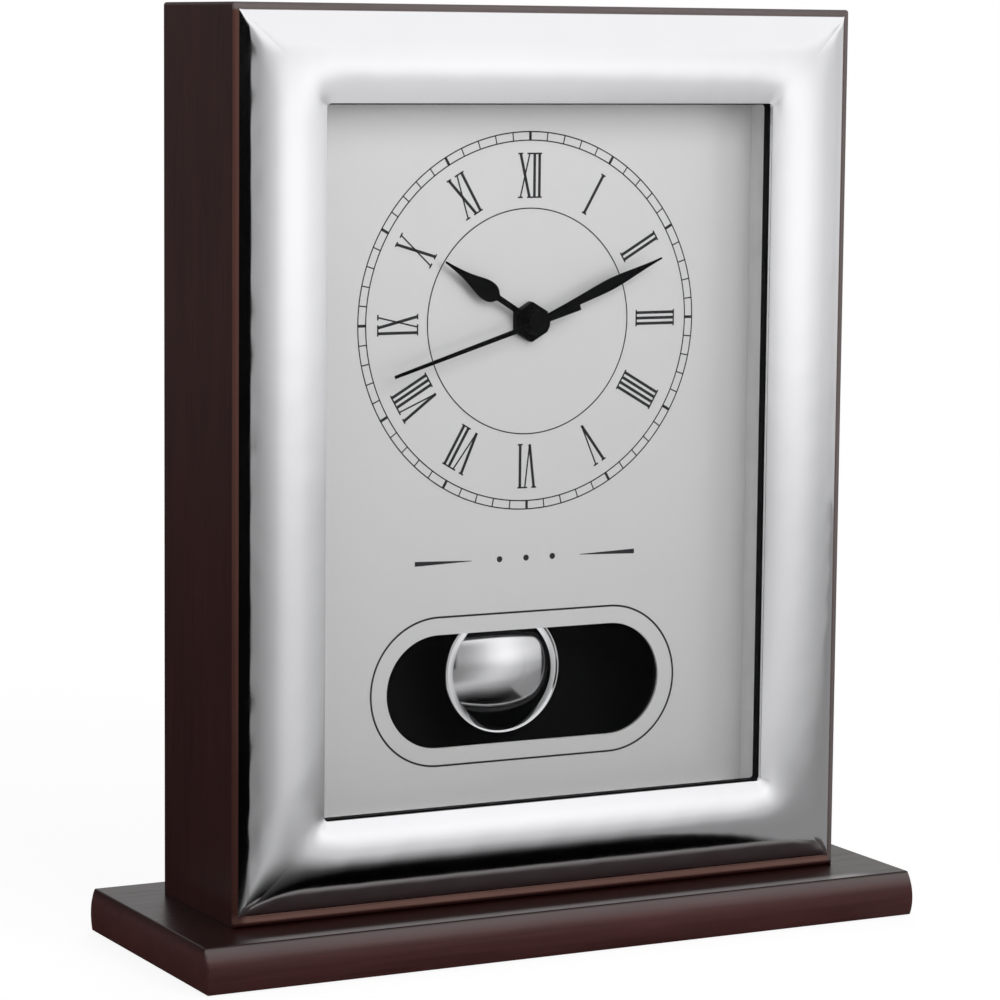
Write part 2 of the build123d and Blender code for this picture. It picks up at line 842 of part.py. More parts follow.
def make_third_wheel():
    phase = mesh_phase(0.0, SECOND_LEAVES, THIRD_TEETH, third_direction)
    return fuse([
        wheel(third_point, THIRD_TEETH, third_module, phase, 4),
        pinion(third_point, THIRD_LEAVES, centre_module, 0.0, 3),
        hub(third_point, centre_module, THIRD_LEAVES, 3, 4),
        arbor(third_point, arbor_radius, pivot_front, plate_back),
    ])


def make_centre_wheel():
    """The wheel that drives the minute hand through a slipping fit on its arbor."""
    phase = mesh_phase(0.0, THIRD_LEAVES, CENTRE_TEETH, third_direction + 180)
    rim = wheel(hand_point, CENTRE_TEETH, centre_module, phase, 3)
    return rim - arbor(hand_point, minute_pipe + running_clearance, *layer(3))


def make_minute_arbor():
    """The minute pipe, with its pinion for the motion work."""
    back = layer(3)[1]
    return fuse([
        pinion(hand_point, CANNON_TEETH, minute_module, 0.0, 2),
        arbor(hand_point, minute_pipe, minute_hand_y - collet_height, back),
    ]) - arbor(hand_point, second_arbor + running_clearance, minute_hand_y - collet_height, back)


minute_phase = mesh_phase(0.0, CANNON_TEETH, MINUTE_TEETH, minute_direction)


def make_minute_wheel():
    """The idler between the minute pipe and the hour wheel, on a post of the front case."""
    idler = fuse([
        wheel(minute_point, MINUTE_TEETH, minute_module, minute_phase, 2),
        pinion(minute_point, MINUTE_LEAVES, hour_module, 0.0, 1),
        hub(minute_point, hour_module, MINUTE_LEAVES, 1, 2),
    ])
    return idler - arbor(minute_point, minute_post + running_clearance, movement_inner, layer(2)[1])


def make_hour_wheel():
    phase = mesh_phase(0.0, MINUTE_LEAVES, HOUR_TEETH, minute_direction + 180)
    front = hour_hand_y - collet_height
    solid = wheel(hand_point, HOUR_TEETH, hour_module, phase, 1)
    solid += arbor(hand_point, hour_pipe, front, layer(1)[1])
    return solid - arbor(hand_point, minute_pipe + running_clearance, front, layer(1)[1])


knob_front = cover_back + setting_knob_gap


def make_setting_arbor():
    phase = mesh_phase(minute_phase, MINUTE_TEETH, SETTING_TEETH, setting_direction)
    return fuse([
        pinion(setting_point, SETTING_TEETH, minute_module, phase, 2),
        arbor(setting_point, setting_arbor_radius, pivot_front, knob_front + setting_knob_height / 2),
    ])


def make_setting_knob():
    """A scalloped knob on the end of the setting arbor, behind the cover."""
    knob = arbor(setting_point, setting_knob_radius, knob_front, knob_front + setting_knob_height)
    from_middle = setting_knob_radius + setting_grip_radius - setting_grip_depth
    for grip in range(setting_grips):
        centre = offset_from(setting_point, from_middle, 360 / setting_grips * grip)
        knob -= arbor(centre, setting_grip_radius, knob_front, knob_front + setting_knob_height)
    return knob - arbor(setting_point, setting_arbor_radius, knob_front, knob_front + setting_knob_height / 2)


# Movement case
bay_low = hand_z + centre_module * (CENTRE_TEETH / 2 + gear_addendum) + gear_headroom + bay_floor
bay_high = bay_low + 2 * (battery_radius + battery_clearance)
bay_front = movement_front + bay_front_wall
third_reach = third_point[0] + third_module * (THIRD_TEETH / 2 + gear_addendum)
setting_reach = -setting_point[0] + minute_module * (SETTING_TEETH / 2 + gear_addendum)
cell_reach = battery_length / 2 + contact_reach
movement_half = max(cell_reach, third_reach + gear_headroom, setting_reach + gear_headroom) + movement_wall
movement_high = bay_high + movement_wall
battery_y = bay_front + battery_clearance + battery_radius
battery_z = bay_low + battery_clearance + battery_radius
plate_high = bay_low - bay_floor - running_clearance
plate_low = pivot_z + eye_radius + running_clearance + layer_gap
post_x = movement_half - movement_wall - post_inset
POST_POINTS = [(sign * post_x, z) for sign in (-1, 1)
               for z in (plate_high - post_inset, plate_low + post_inset)]
stator_top = rotor_point[1] + rotor_magnet_radius + rotor_air_gap + stator_leg
stator_foot = rotor_point[1] - coil_below_rotor - core_half - stator_toe
stator_middle_y = (rotor_front + rotor_back) / 2
stator_front = stator_middle_y - stator_thickness / 2
stator_back = stator_middle_y + stator_thickness / 2
coil_z = rotor_point[1] - coil_below_rotor
circuit_x = movement_half - movement_wall - circuit_wall_gap - board_width / 2
circuit_z = hand_z - circuit_below_hands
circuit_front = movement_inner + circuit_standoff
leg_x = stator_width / 2 - stator_leg / 2
STATOR_STANDOFFS = [(rotor_point[0] + sign * leg_x, stator_foot + stator_leg / 2) for sign in (-1, 1)]
CIRCUIT_STANDOFFS = [(circuit_x + sign * board_width / 3, circuit_z) for sign in (-1, 1)]


def slot_half():
    """Half the width that the swinging hanger needs in the floor of the movement case."""
    reach = pivot_z - movement_low
    turn = math.radians(pendulum_swing)
    return reach * math.tan(turn) + hanger_half_width / math.cos(turn) + slot_clearance


def make_front_case():
    """The tray that holds the train, with posts, bearings and the battery bay."""
    tray = panel(movement_half, movement_low, movement_high, movement_front, movement_back)
    inside = movement_half - movement_wall
    tray -= panel(inside, movement_low + movement_wall, bay_low - bay_floor, movement_inner, movement_back)
    tray -= panel(inside, bay_low, bay_high, bay_front, movement_back)
    standing = [disc(x, z, post_radius, movement_inner, plate_front) for x, z in POST_POINTS]
    standing += [disc(x, z, standoff_radius, movement_inner, stator_front) for x, z in STATOR_STANDOFFS]
    standing += [disc(x, z, standoff_radius, movement_inner, circuit_front) for x, z in CIRCUIT_STANDOFFS]
    standing.append(arbor(minute_point, minute_post, movement_inner, layer(2)[1]))
    standing.append(disc(0, pivot_z, pin_boss_radius, movement_inner, hanger_front - hanger_side_gap))
    standing.append(disc(0, drive_coil_z, drive_coil_bore - running_clearance, movement_inner,
                         drive_coil_back))
    tray = fuse([tray] + standing)
    cuts = [disc(0, hand_z, bush_radius + running_clearance, movement_front, movement_inner)]
    cuts += movement_screw_holes(movement_inner, plate_front, running_clearance)
    for centre in (intermediate_point, rotor_point, third_point):
        cuts.append(arbor(centre, arbor_radius + running_clearance, pivot_front - running_clearance,
                          movement_inner))
    cuts.append(arbor(setting_point, setting_arbor_radius + running_clearance,
                      pivot_front - running_clearance, movement_inner))
    cuts.append(pendulum_pin_shape(running_clearance))
    cuts.append(block(-slot_half(), slot_half(), hanger_front - slot_clearance,
                      hanger_back + slot_clearance, movement_low, movement_low + movement_wall))
    return tray - cuts


def movement_screw_holes(y0, y1, clearance):
    return [disc(x, z, movement_screw_shank + clearance, y0, y1) for x, z in POST_POINTS]


def make_gear_plate():
    """The plate that carries the back ends of the arbors."""
    inside = movement_half - movement_wall - running_clearance
    plate = panel(inside, plate_low, plate_high, plate_front, plate_back)
    cuts = movement_screw_holes(plate_front, plate_back, running_clearance)
    cuts.append(arbor(hand_point, second_arbor + running_clearance, plate_front, plate_back))
    for centre in (intermediate_point, rotor_point, third_point):
        cuts.append(arbor(centre, arbor_radius + running_clearance, plate_front, plate_back))
    cuts.append(arbor(setting_point, setting_arbor_radius + running_clearance, plate_front, plate_back))
    return plate - cuts


def make_back_cover():
    """The cover that closes the movement, open at the battery."""
    cover = panel(movement_half, movement_low, movement_high, movement_back, cover_back)
    pillars = [disc(x, z, post_radius, plate_back, movement_back) for x, z in POST_POINTS]
    pillars.append(disc(0, pivot_z, pin_boss_radius, hanger_back + hanger_side_gap, movement_back))
    cover = fuse([cover] + pillars)
    inside = movement_half - movement_wall
    cuts = [panel(inside, bay_low, bay_high, movement_back, cover_back)]
    cuts += movement_screw_holes(plate_back, cover_back, running_clearance)
    head = movement_screw_head + running_clearance
    cuts += [disc(x, z, head, cover_back - movement_screw_head_height, cover_back) for x, z in POST_POINTS]
    cuts.append(arbor(setting_point, setting_arbor_radius + running_clearance, movement_back, cover_back))
    cuts.append(pendulum_pin_shape(running_clearance))
    return cover - cuts


def make_movement_screws():
    seat = cover_back - movement_screw_head_height
    length = seat - movement_inner - movement_wall
    screw = pan_screw(movement_screw_head, movement_screw_head_height, movement_screw_shank, length)
    return [Pos(x, seat, z) * FACING_BACK * screw for x, z in POST_POINTS]


# Motor, circuit and battery
def make_stator():
    """A soft iron yoke round the rotor, with two legs down to the coil."""
    x = rotor_point[0]
    half = stator_width / 2
    yoke = block(x - half, x + half, stator_front, stator_back, stator_foot, stator_top)
    window_top = coil_z + coil_radius + coil_end_gap
    yoke -= block(x - half + stator_leg, x + half - stator_leg, stator_front, stator_back,
                  stator_foot, window_top)
    return yoke - arbor(rotor_point, rotor_magnet_radius + rotor_air_gap, stator_front, stator_back)


def make_motor_coil():
    """A wound bobbin on an iron core that bridges the stator's legs."""
    half = stator_width / 2 - stator_leg
    core = block(-half, half, -core_half, core_half, -core_half, core_half)
    winding = Rot(0, 90, 0) * Cylinder(coil_radius, 2 * (half - coil_end_gap))
    return Pos(rotor_point[0], stator_middle_y, coil_z) * (core + winding)


def make_circuit_board():
    half = board_width / 2
    return block(circuit_x - half, circuit_x + half, circuit_front,
                 circuit_front + circuit_thickness, circuit_z - board_height / 2, circuit_z + board_height / 2)


battery_left = -battery_length / 2
battery_right = battery_length / 2 - battery_nub_length


def make_battery():
    """A single round cell lying across the movement."""
    length = battery_right - battery_left
    can = Pos((battery_left + battery_right) / 2, 0, 0) * Rot(0, 90, 0) * Cylinder(battery_radius, length)
    nub = Rot(0, 90, 0) * Cylinder(battery_nub_radius, battery_nub_length)
    nub = Pos(battery_right + battery_nub_length / 2, 0, 0) * nub
    return Pos(0, battery_y, battery_z) * (can + nub)


def make_contact(side):
    """A bent strip from the bay's end wall to the cell: side is -1 or 1."""
    wall = side * (movement_half - movement_wall)
    cell = side * battery_length / 2
    inner_y = battery_y - contact_width / 2
    outer_y = battery_y + contact_width / 2
    face = block(min(cell, cell + side * contact_thickness), max(cell, cell + side * contact_thickness),
                 inner_y, outer_y, battery_z - contact_width / 2, battery_z + contact_width / 2)
    foot = block(min(cell, wall), max(cell, wall), outer_y - contact_thickness, outer_y,
                 battery_z - contact_width / 2, battery_z + contact_width / 2)
    return face + foot


# Pendulum
def pendulum_pin_shape(clearance):
    return disc(0, pivot_z, pin_radius + clearance, pivot_front - clearance,
                movement_back + pivot_depth + clearance)


def make_hanger():
    """The swinging lever: an eye on the pin, a pad for the magnet and a peg for the rod."""
    top = disc(0, pivot_z, eye_radius, hanger_front, hanger_back)
    pad = disc(0, drive_coil_z, hanger_pad_radius, hanger_front, hanger_back)
    arm = block(-hanger_half_width, hanger_half_width, hanger_front, hanger_back,
                peg_z - peg_radius - hanger_toe, pivot_z)
    peg = disc(0, peg_z, peg_radius, hanger_back, hanger_back + peg_length)
    lever = fuse([top, pad, arm, peg])
    lever -= disc(0, pivot_z, pin_radius + running_clearance, hanger_front, hanger_back)
    return lever - disc(0, drive_coil_z, magnet_radius, hanger_front, hanger_front + magnet_thickness)


def make_pendulum_magnet():
    return disc(0, drive_coil_z, magnet_radius, hanger_front, hanger_front + magnet_thickness)


def make_drive_coil():
    """The flat coil that keeps the pendulum swinging."""
    ring = disc(0, drive_coil_z, drive_coil_radius, movement_inner, drive_coil_back)
    return ring - disc(0, drive_coil_z, drive_coil_bore, movement_inner, drive_coil_back)


def make_rod():
    """A flat rod that hooks on the hanger's peg and runs down the back of the bob."""
    back = hanger_back + rod_thickness
    strip = block(-rod_width / 2, rod_width / 2, hanger_back, back, bob_z, peg_z)
    eye = disc(0, peg_z, rod_eye_radius, hanger_back, back)
    return strip + eye - disc(0, peg_z, peg_radius + running_clearance, hanger_back, back)


def make_bob_face():
    """A domed disc with a raised bead round its rim."""
    dome_edge = bob_radius - 2 * bob_bead - bob_groove
    bead_in = bob_radius - 2 * bob_bead
    sphere = (dome_edge ** 2 + bob_dome_height ** 2) / (2 * bob_dome_height)
    apex = bob_plane - bob_dome_height
    centre = apex + sphere
    seat = bob_plane + bob_seat
    inner = sphere - bob_sheet
    inner_edge = math.sqrt(inner ** 2 - (centre - seat) ** 2)
    half = math.asin(dome_edge / sphere) / 2
    inner_half_turn = math.asin(inner_edge / inner) / 2
    middle = (sphere * math.sin(half), centre - sphere * math.cos(half))
    inner_middle = (inner * math.sin(inner_half_turn), centre - inner * math.cos(inner_half_turn))
    edges = [
        ThreePointArc((0, apex), middle, (dome_edge, bob_plane)),
        Line((dome_edge, bob_plane), (bead_in, bob_plane)),
        ThreePointArc((bead_in, bob_plane), (bead_in + bob_bead, bob_plane - bob_bead),
                      (bob_radius, bob_plane)),
        Line((bob_radius, bob_plane), (bob_radius, seat)),
        Line((bob_radius, seat), (inner_edge, seat)),
        ThreePointArc((inner_edge, seat), inner_middle, (0, apex + bob_sheet)),
        Line((0, apex + bob_sheet), (0, apex)),
    ]
    return Pos(0, 0, bob_z) * revolve(make_face(edges), Axis.Y)


def make_bob_back():
    return disc(0, bob_z, bob_radius - bob_bead, bob_plane + bob_seat, bob_back_plane)


# Back door, hinges and catch
hinge_x = door_half
HINGE_HEIGHTS = (case_middle_z - hinge_spacing / 2, case_middle_z + hinge_spacing / 2)
leaf_back = case_back + hinge_leaf_thickness
knuckle_room = knuckle_radius + knuckle_gap
knob_x = -door_half + knob_edge_distance


def hinge_leaf(way, width, spans, z):
    """One leaf: a plate out from the knuckles, way being -1 or 1, and its knuckles' spans."""
    half = hinge_length / 2
    first, last = sorted((hinge_x + way * knuckle_room, hinge_x + way * width))
    pieces = [block(first, last, case_back, leaf_back, z - half, z + half)]
    for low, high in spans:
        first, last = sorted((hinge_x, hinge_x + way * knuckle_room))
        pieces.append(block(first, last, case_back, leaf_back, z + low, z + high))
        pieces.append(post(hinge_x, hinge_y, knuckle_radius, z + low, z + high))
    leaf = fuse(pieces)
    return leaf - post(hinge_x, hinge_y, hinge_pin_radius + running_clearance, z - half, z + half)


def make_case_leaves():
    inner = knuckle_middle / 2 + knuckle_gap
    spans = [(-hinge_length / 2, -inner), (inner, hinge_length / 2)]
    holes = make_hinge_screws("case", screw_clearance)
    return [hinge_leaf(1, hinge_case_leaf, spans, z) - holes for z in HINGE_HEIGHTS]


def make_door_leaves():
    spans = [(-knuckle_middle / 2, knuckle_middle / 2)]
    holes = make_hinge_screws("door", screw_clearance)
    return [hinge_leaf(-1, hinge_door_leaf, spans, z) - holes for z in HINGE_HEIGHTS]


def make_hinge_pins():
    half = hinge_length / 2
    pins = []
    for z in HINGE_HEIGHTS:
        pin = post(hinge_x, hinge_y, hinge_pin_radius, z - half, z + half)
        pins.append(pin + post(hinge_x, hinge_y, hinge_pin_head, z + half, z + half + hinge_pin_head_height))
    return pins


def make_hinge_screws(where, clearance=0.0):
    """Countersunk screws through the leaves, into the case's edge or into the door."""
    reach = hinge_case_screw_reach if where == "case" else hinge_door_screw_reach
    if where == "case":
        x = hinge_x + (knuckle_room + hinge_case_leaf) / 2
    else:
        x = hinge_x - (knuckle_room + hinge_door_leaf) / 2
    depth = hinge_screw_head - hinge_screw_shank
    screw = countersunk_screw(hinge_screw_head, hinge_screw_shank, depth, reach, clearance)
    heights = [z + sign * hinge_screw_spacing / 2 for z in HINGE_HEIGHTS for sign in (-1, 1)]
    return [Pos(x, leaf_back, z) * FACING_BACK * screw for z in heights]


def make_door():
    """The inset back door."""
    half = door_half - door_clearance
    low = base_top + door_rebate + door_clearance
    high = case_top_z - door_rebate - door_clearance
    door = panel(half, low, high, door_front, case_back)
    door -= disc(knob_x, case_middle_z, knob_spigot_radius, door_front, case_back)
    return door - make_hinge_screws("door", screw_clearance)


def make_knob():
    """A turned knob with a spigot through the door."""
    neck_end = case_back + knob_neck_length
    ball = neck_end + knob_radius
    start_y = ball - math.sqrt(knob_radius ** 2 - knob_neck_radius ** 2)
    edges = [
        Line((0, door_front), (knob_spigot_radius, door_front)),
        Line((knob_spigot_radius, door_front), (knob_spigot_radius, case_back)),
        Line((knob_spigot_radius, case_back), (knob_neck_radius, case_back)),
        Line((knob_neck_radius, case_back), (knob_neck_radius, start_y)),
        ThreePointArc((knob_neck_radius, start_y), (knob_radius, ball), (0, ball + knob_radius)),
        Line((0, ball + knob_radius), (0, door_front)),
    ]
    return Pos(knob_x, 0, case_middle_z) * revolve(make_face(edges), Axis.Y)


strike_front = door_front - strike_thickness


def make_catch():
    """The magnet block on the case's side, just clear of the strike plate."""
    back = strike_front - catch_gap
    return block(-inner_half, -inner_half + catch_width, back - catch_depth, back,
                 case_middle_z - catch_length / 2, case_middle_z + catch_length / 2)


def make_strike():
    left = -inner_half + door_clearance
    return block(left, left + strike_width, strike_front, door_front,
                 case_middle_z - strike_length / 2, case_middle_z + strike_length / 2)


def make_all():
    """Every node by name."""
    boards = make_case_boards()
    rails = make_mouldings()
    return {
        "base_plinth": make_base(),
        "base_felt": make_felt(),
        "base_screws": make_base_screws(),
        "case_left_side": boards["left"],
        "case_right_side": boards["right"],
        "case_top": boards["top"],
        "case_bottom": boards["bottom"],
        "moulding_left": rails["left"],
        "moulding_right": rails["right"],
        "moulding_top": rails["top"],
        "moulding_bottom": rails["bottom"],
        "silver_frame": make_silver_frame(),
        "front_glass": make_glass(),
        "dial_spacer": make_spacer(),
        "dial_plate": make_dial_plate(),
        "dial_board": make_dial_board(),
        "dial_board_screws": make_dial_screws(),
        "hour_hand": make_hour_hand(),
        "minute_hand": make_minute_hand(),
        "second_hand": make_second_hand(),
        "mounting_nut": make_nut(),
        "mounting_washer": make_washer(),
        "centre_bush": make_bush(),
        "movement_front_case": make_front_case(),
        "movement_back_cover": make_back_cover(),
        "gear_plate": make_gear_plate(),
        "movement_screws": make_movement_screws(),
        "battery": make_battery(),
        "battery_contact_plus": make_contact(1),
        "battery_contact_minus": make_contact(-1),
        "circuit_board": make_circuit_board(),
        "stator": make_stator(),
        "motor_coil": make_motor_coil(),
        "rotor_magnet": make_rotor_magnet(),
        "rotor_pinion": make_rotor_pinion(),
        "intermediate_wheel": make_intermediate_wheel(),
        "seconds_wheel": make_second_wheel(),
        "third_wheel": make_third_wheel(),
        "centre_wheel": make_centre_wheel(),
        "minute_arbor": make_minute_arbor(),
        "minute_wheel": make_minute_wheel(),
        "hour_wheel": make_hour_wheel(),
        "setting_arbor": make_setting_arbor(),
        "setting_knob": make_setting_knob(),
        "drive_coil": make_drive_coil(),
        "pendulum_pin": pendulum_pin_shape(0.0),
        "pendulum_hanger": make_hanger(),
        "pendulum_magnet": make_pendulum_magnet(),
        "pendulum_rod": make_rod(),
        "bob_face": make_bob_face(),
        "bob_back": make_bob_back(),
        "back_door": make_door(),
        "hinge_case_leaves": make_case_leaves(),
        "hinge_door_leaves": make_door_leaves(),
        "hinge_pins": make_hinge_pins(),
        "hinge_case_screws": make_hinge_screws("case"),
        "hinge_door_screws": make_hinge_screws("door"),
        "door_knob": make_knob(),
        "magnet_catch": make_catch(),
        "strike_plate": make_strike(),
    }


os.makedirs("parts", exist_ok=True)
for node, shape in make_all().items():
    solid = Compound(children=shape) if isinstance(shape, list) else shape
    export_step(solid, f"parts/{node}.step")
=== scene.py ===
import json

import bmesh
import bpy
import numpy as np
from bpy.props import FloatProperty, FloatVectorProperty, PointerProperty
from mathutils import Matrix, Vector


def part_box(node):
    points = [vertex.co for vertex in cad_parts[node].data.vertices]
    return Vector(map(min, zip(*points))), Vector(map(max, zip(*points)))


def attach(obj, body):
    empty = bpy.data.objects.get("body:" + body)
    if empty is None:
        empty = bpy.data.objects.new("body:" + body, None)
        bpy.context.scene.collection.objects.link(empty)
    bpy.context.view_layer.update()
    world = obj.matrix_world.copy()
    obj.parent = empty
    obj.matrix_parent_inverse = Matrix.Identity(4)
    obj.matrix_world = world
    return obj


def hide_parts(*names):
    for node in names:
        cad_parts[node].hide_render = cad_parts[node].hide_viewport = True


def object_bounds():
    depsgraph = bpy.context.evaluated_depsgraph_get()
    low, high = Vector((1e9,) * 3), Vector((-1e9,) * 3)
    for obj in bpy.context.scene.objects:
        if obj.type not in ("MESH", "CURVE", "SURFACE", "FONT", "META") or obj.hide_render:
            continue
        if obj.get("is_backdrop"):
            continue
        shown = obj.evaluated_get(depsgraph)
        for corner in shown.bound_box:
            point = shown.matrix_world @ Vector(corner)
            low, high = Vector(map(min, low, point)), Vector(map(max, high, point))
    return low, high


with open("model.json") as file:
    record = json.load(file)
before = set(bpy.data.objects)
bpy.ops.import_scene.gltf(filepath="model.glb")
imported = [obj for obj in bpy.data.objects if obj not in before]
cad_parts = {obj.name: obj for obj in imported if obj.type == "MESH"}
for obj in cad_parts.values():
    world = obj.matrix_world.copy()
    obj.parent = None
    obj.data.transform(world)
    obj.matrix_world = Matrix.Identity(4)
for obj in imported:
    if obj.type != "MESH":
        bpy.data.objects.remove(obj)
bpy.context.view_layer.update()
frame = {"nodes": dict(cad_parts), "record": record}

bl_info = {
    "name": "Desk Pendulum Clock Looks",
    "version": (1, 0, 0),
    "blender": (4, 5, 0),
    "location": "View3D > Sidebar > Clock",
    "description": "Finishes, printed dial, pressed silver front and pendulum bob of a desk clock",
    "category": "Object",
}

MM = 0.001
NODES = frame["nodes"]


# Settings that a user would change

def length(name, description, millimetres):
    """A size, held in metres."""
    return FloatProperty(name=name, description=description, default=millimetres * MM,
                         unit="LENGTH", precision=5)


def degrees(name, description, value):
    """An angle, held in radians."""
    return FloatProperty(name=name, description=description, default=np.radians(value),
                         subtype="ANGLE")


def power(name, description, watts):
    """A lamp's power."""
    return FloatProperty(name=name, description=description, default=watts, unit="POWER")


def colour(name, description, value):
    """A linear colour."""
    return FloatVectorProperty(name=name, description=description, default=value,
                               subtype="COLOR", size=3, min=0.0, max=1.0)


class WoodSettings(bpy.types.PropertyGroup):
    """The stained case."""
    dark: colour("Dark grain", "Colour of the dark streaks of the wood", (0.020, 0.0042, 0.0036))
    light: colour("Light grain", "Colour of the light streaks of the wood", (0.042, 0.0112, 0.0098))
    # Painted highlight on the case's rounded front edge: its colour, a paler one at the foot, and a grey one
    # at the top and right.
    edge_highlight: colour("Worn edge", "Colour where the stain is thin, along the front edge", (0.11, 0.045, 0.034))
    foot_edge_highlight: colour("Worn foot", "Colour of that edge at the foot of the case", (0.30, 0.165, 0.135))
    grey_edge_highlight: colour("Dulled edge", "Colour of that edge at the top and right", (0.19, 0.165, 0.16))
    # Painted highlight: a pale strip just behind the front edge of the base's top.
    crease_highlight: colour("Base crease", "Rubbed strip along the base's front crease", (0.34, 0.315, 0.31))
    # Lighter copies of the grain low on the base: painted light on its front and ends.
    lit_plinth_dark: colour("Base dark grain", "Dark streaks low on the base", (0.048, 0.0155, 0.0150))
    lit_plinth_light: colour("Base light grain", "Light streaks low on the base", (0.094, 0.034, 0.033))
    inside: colour("Inside", "Colour of the paint inside the case", (0.005, 0.005, 0.005))
    felt: colour("Felt", "Colour of the felt under the base", (0.020, 0.028, 0.022))


class SilverSettings(bpy.types.PropertyGroup):
    """The pressed silver front."""
    width: length("Rail width", "From the lip at the glass to the outer edge", 22.75)
    crest_at: length("Crest place", "From the lip to the highest line of the face", 11.2)
    crest: length("Crest height", "Height of the face in front of the case", 3.4)
    roll: length("Lip roll", "Radius of the rolled lip", 0.12)
    lip_corner: length("Lip corner", "Radius of the corners of the opening", 1.2)
    lip_depth: length("Lip depth", "How far the lip reaches behind the front of the case", 1.8)
    sheet: length("Sheet", "Thickness of the pressed sheet", 0.5)
    lean: degrees("Lip lean", "Slope of the face where the lip's roll ends", 16.0)
    fall: degrees("Outer fall", "Slope of the face at its shoulder", 20.0)
    shoulder_at: length("Shoulder place", "From the lip to the shoulder, where the flank starts", 20.3)
    corner: length("Corner blend", "How far the faces of two rails run into each other", 22.0)
    ripple: length("Ripple", "Depth of the waves that pressing left in the face", 0.022)
    waver: length("Waver", "How far the shoulder strays from a straight line", 0.4)
    lining: length("Lining", "Thickness of the black lining of the opening", 0.3)
    lining_below: length("Lining top", "From the lip's roll back to the lining", 1.3)
    tint: colour("Silver", "Colour of the polished silver", (0.95, 0.95, 0.97))


class DialSettings(bpy.types.PropertyGroup):
    """The printed dial and its hands."""
    plate: colour("Plate", "Colour of the satin dial plate", (0.77, 0.77, 0.77))
    ink: colour("Ink", "Colour of the printing", (0.010, 0.010, 0.012))
    ink_height: length("Ink height", "Height of the printing on the plate", 0.03)
    track_outer: length("Outer ring", "Radius of the outer ring of the minute track", 48.7)
    track_inner: length("Inner ring", "Radius of the inner ring of the minute track", 46.5)
    centre_ring: length("Centre ring", "Radius of the ring inside the numerals", 29.1)
    fine_line: length("Fine line", "Width of the rings and minute lines", 0.32)
    bold_line: length("Bold line", "Width of the five minute lines", 0.74)
    numeral_foot: length("Numeral foot", "Radius of the feet of the numerals", 31.7)
    numeral_top: length("Numeral top", "Radius of the tops of the numerals", 43.3)
    thick_stroke: length("Thick stroke", "Width of a numeral's thick strokes", 0.76)
    thin_stroke: length("Thin stroke", "Width of a numeral's thin strokes", 0.40)
    letter_pitch: length("Letter pitch", "From one upright stroke of a numeral to the next", 1.43)
    letter_width: length("Letter width", "Width of the letters X and V", 2.65)
    row_height: length("Ornament height", "Height of the row of dashes and dots above the rest face", 98.75)
    dash_inner: length("Dash start", "From the middle to the fine end of a dash", 15.9)
    dash_outer: length("Dash end", "From the middle to the thick end of a dash", 32.2)
    dash_width: length("Dash width", "Width of a dash at its thick end", 1.25)
    dot_pitch: length("Dot pitch", "From one dot to the next", 7.75)
    dot_radius: length("Dot radius", "Radius of a dot", 0.8)
    outline_width: length("Window line width", "Width of the line round the window, end to end", 89.0)
    outline_height: length("Window line height", "Height of the line round the window", 38.8)
    outline_line: length("Window line", "Width of the line round the window", 0.52)


class BobSettings(bpy.types.PropertyGroup):
    """The pendulum's bob."""
    bead: length("Bead", "Radius of the bead round the rim", 0.45)
    groove: length("Groove", "Width of the groove inside the bead", 1.4)
    dome: length("Dome", "Height of the dome above the groove", 3.2)
    rim: length("Rim", "Depth of the rim behind the groove", 0.6)


class StageSettings(bpy.types.PropertyGroup):
    """The camera's stand and the studio light."""
    turn: degrees("Turn", "Camera's turn to the left of the clock's front", 27.657)
    tilt: degrees("Tilt", "Camera's height above the horizon", 6.951)
    roll: degrees("Roll", "Camera's roll", 0.556)
    lens: FloatProperty(name="Lens", description="Focal length on a 36 mm film",
                        default=136.74, subtype="DISTANCE_CAMERA")
    stand: FloatVectorProperty(name="Stand", description="Place of the camera", size=3,
                               default=(-0.459706, -0.870966, 0.232883), unit="LENGTH", precision=5)
    key: power("Key light", "Power of the lamp above the front", 1.1)
    side: power("Side light", "Power of the lamp at the left", 1.1)
    back: power("Back light", "Power of the lamp behind", 3.0)
    fill: FloatProperty(name="Fill light", description="Strength of the light from all round", default=0.52)


# Meshes from arrays

def grid(points, close_rows=False, close_columns=False):
    """Points and faces of a surface: each face joins four neighbours of the rows by columns array."""
    rows, columns = points.shape[:2]
    index = np.arange(rows * columns).reshape(rows, columns)
    if close_rows:
        index = np.vstack([index, index[:1]])
    if close_columns:
        index = np.hstack([index, index[:, :1]])
    faces = np.stack([index[:-1, :-1], index[1:, :-1], index[1:, 1:], index[:-1, 1:]], axis=-1)
    return points.reshape(-1, 3), faces.reshape(-1, 4)


def join(surfaces):
    """Several surfaces as one: points one after another, faces counted on from the last surface."""
    counts = [len(points) for points, _ in surfaces]
    starts = np.concatenate([[0], np.cumsum(counts)[:-1]])
    points = np.concatenate([points for points, _ in surfaces])
    faces = np.concatenate([faces + start for (_, faces), start in zip(surfaces, starts)])
    return points, faces


def mesh_object(name, surfaces):
    """An object at the origin with the surfaces welded together and their faces turned outward."""
    points, faces = join(surfaces)
    mesh = bpy.data.meshes.new(name)
    mesh.from_pydata(points.tolist(), [], faces.tolist())
    shell = bmesh.new()
    shell.from_mesh(mesh)
    bmesh.ops.remove_doubles(shell, verts=shell.verts, dist=WELD)
    bmesh.ops.recalc_face_normals(shell, faces=shell.faces)
    shell.to_mesh(mesh)
    shell.free()
    mesh.polygons.foreach_set("use_smooth", np.ones(len(mesh.polygons), dtype=bool))
    mesh.set_sharp_from_angle(angle=SHARP)
    made = bpy.data.objects.new(name, mesh)
    bpy.context.scene.collection.objects.link(made)
    return made


WELD = 1e-4 * MM
SHARP = np.radians(32)


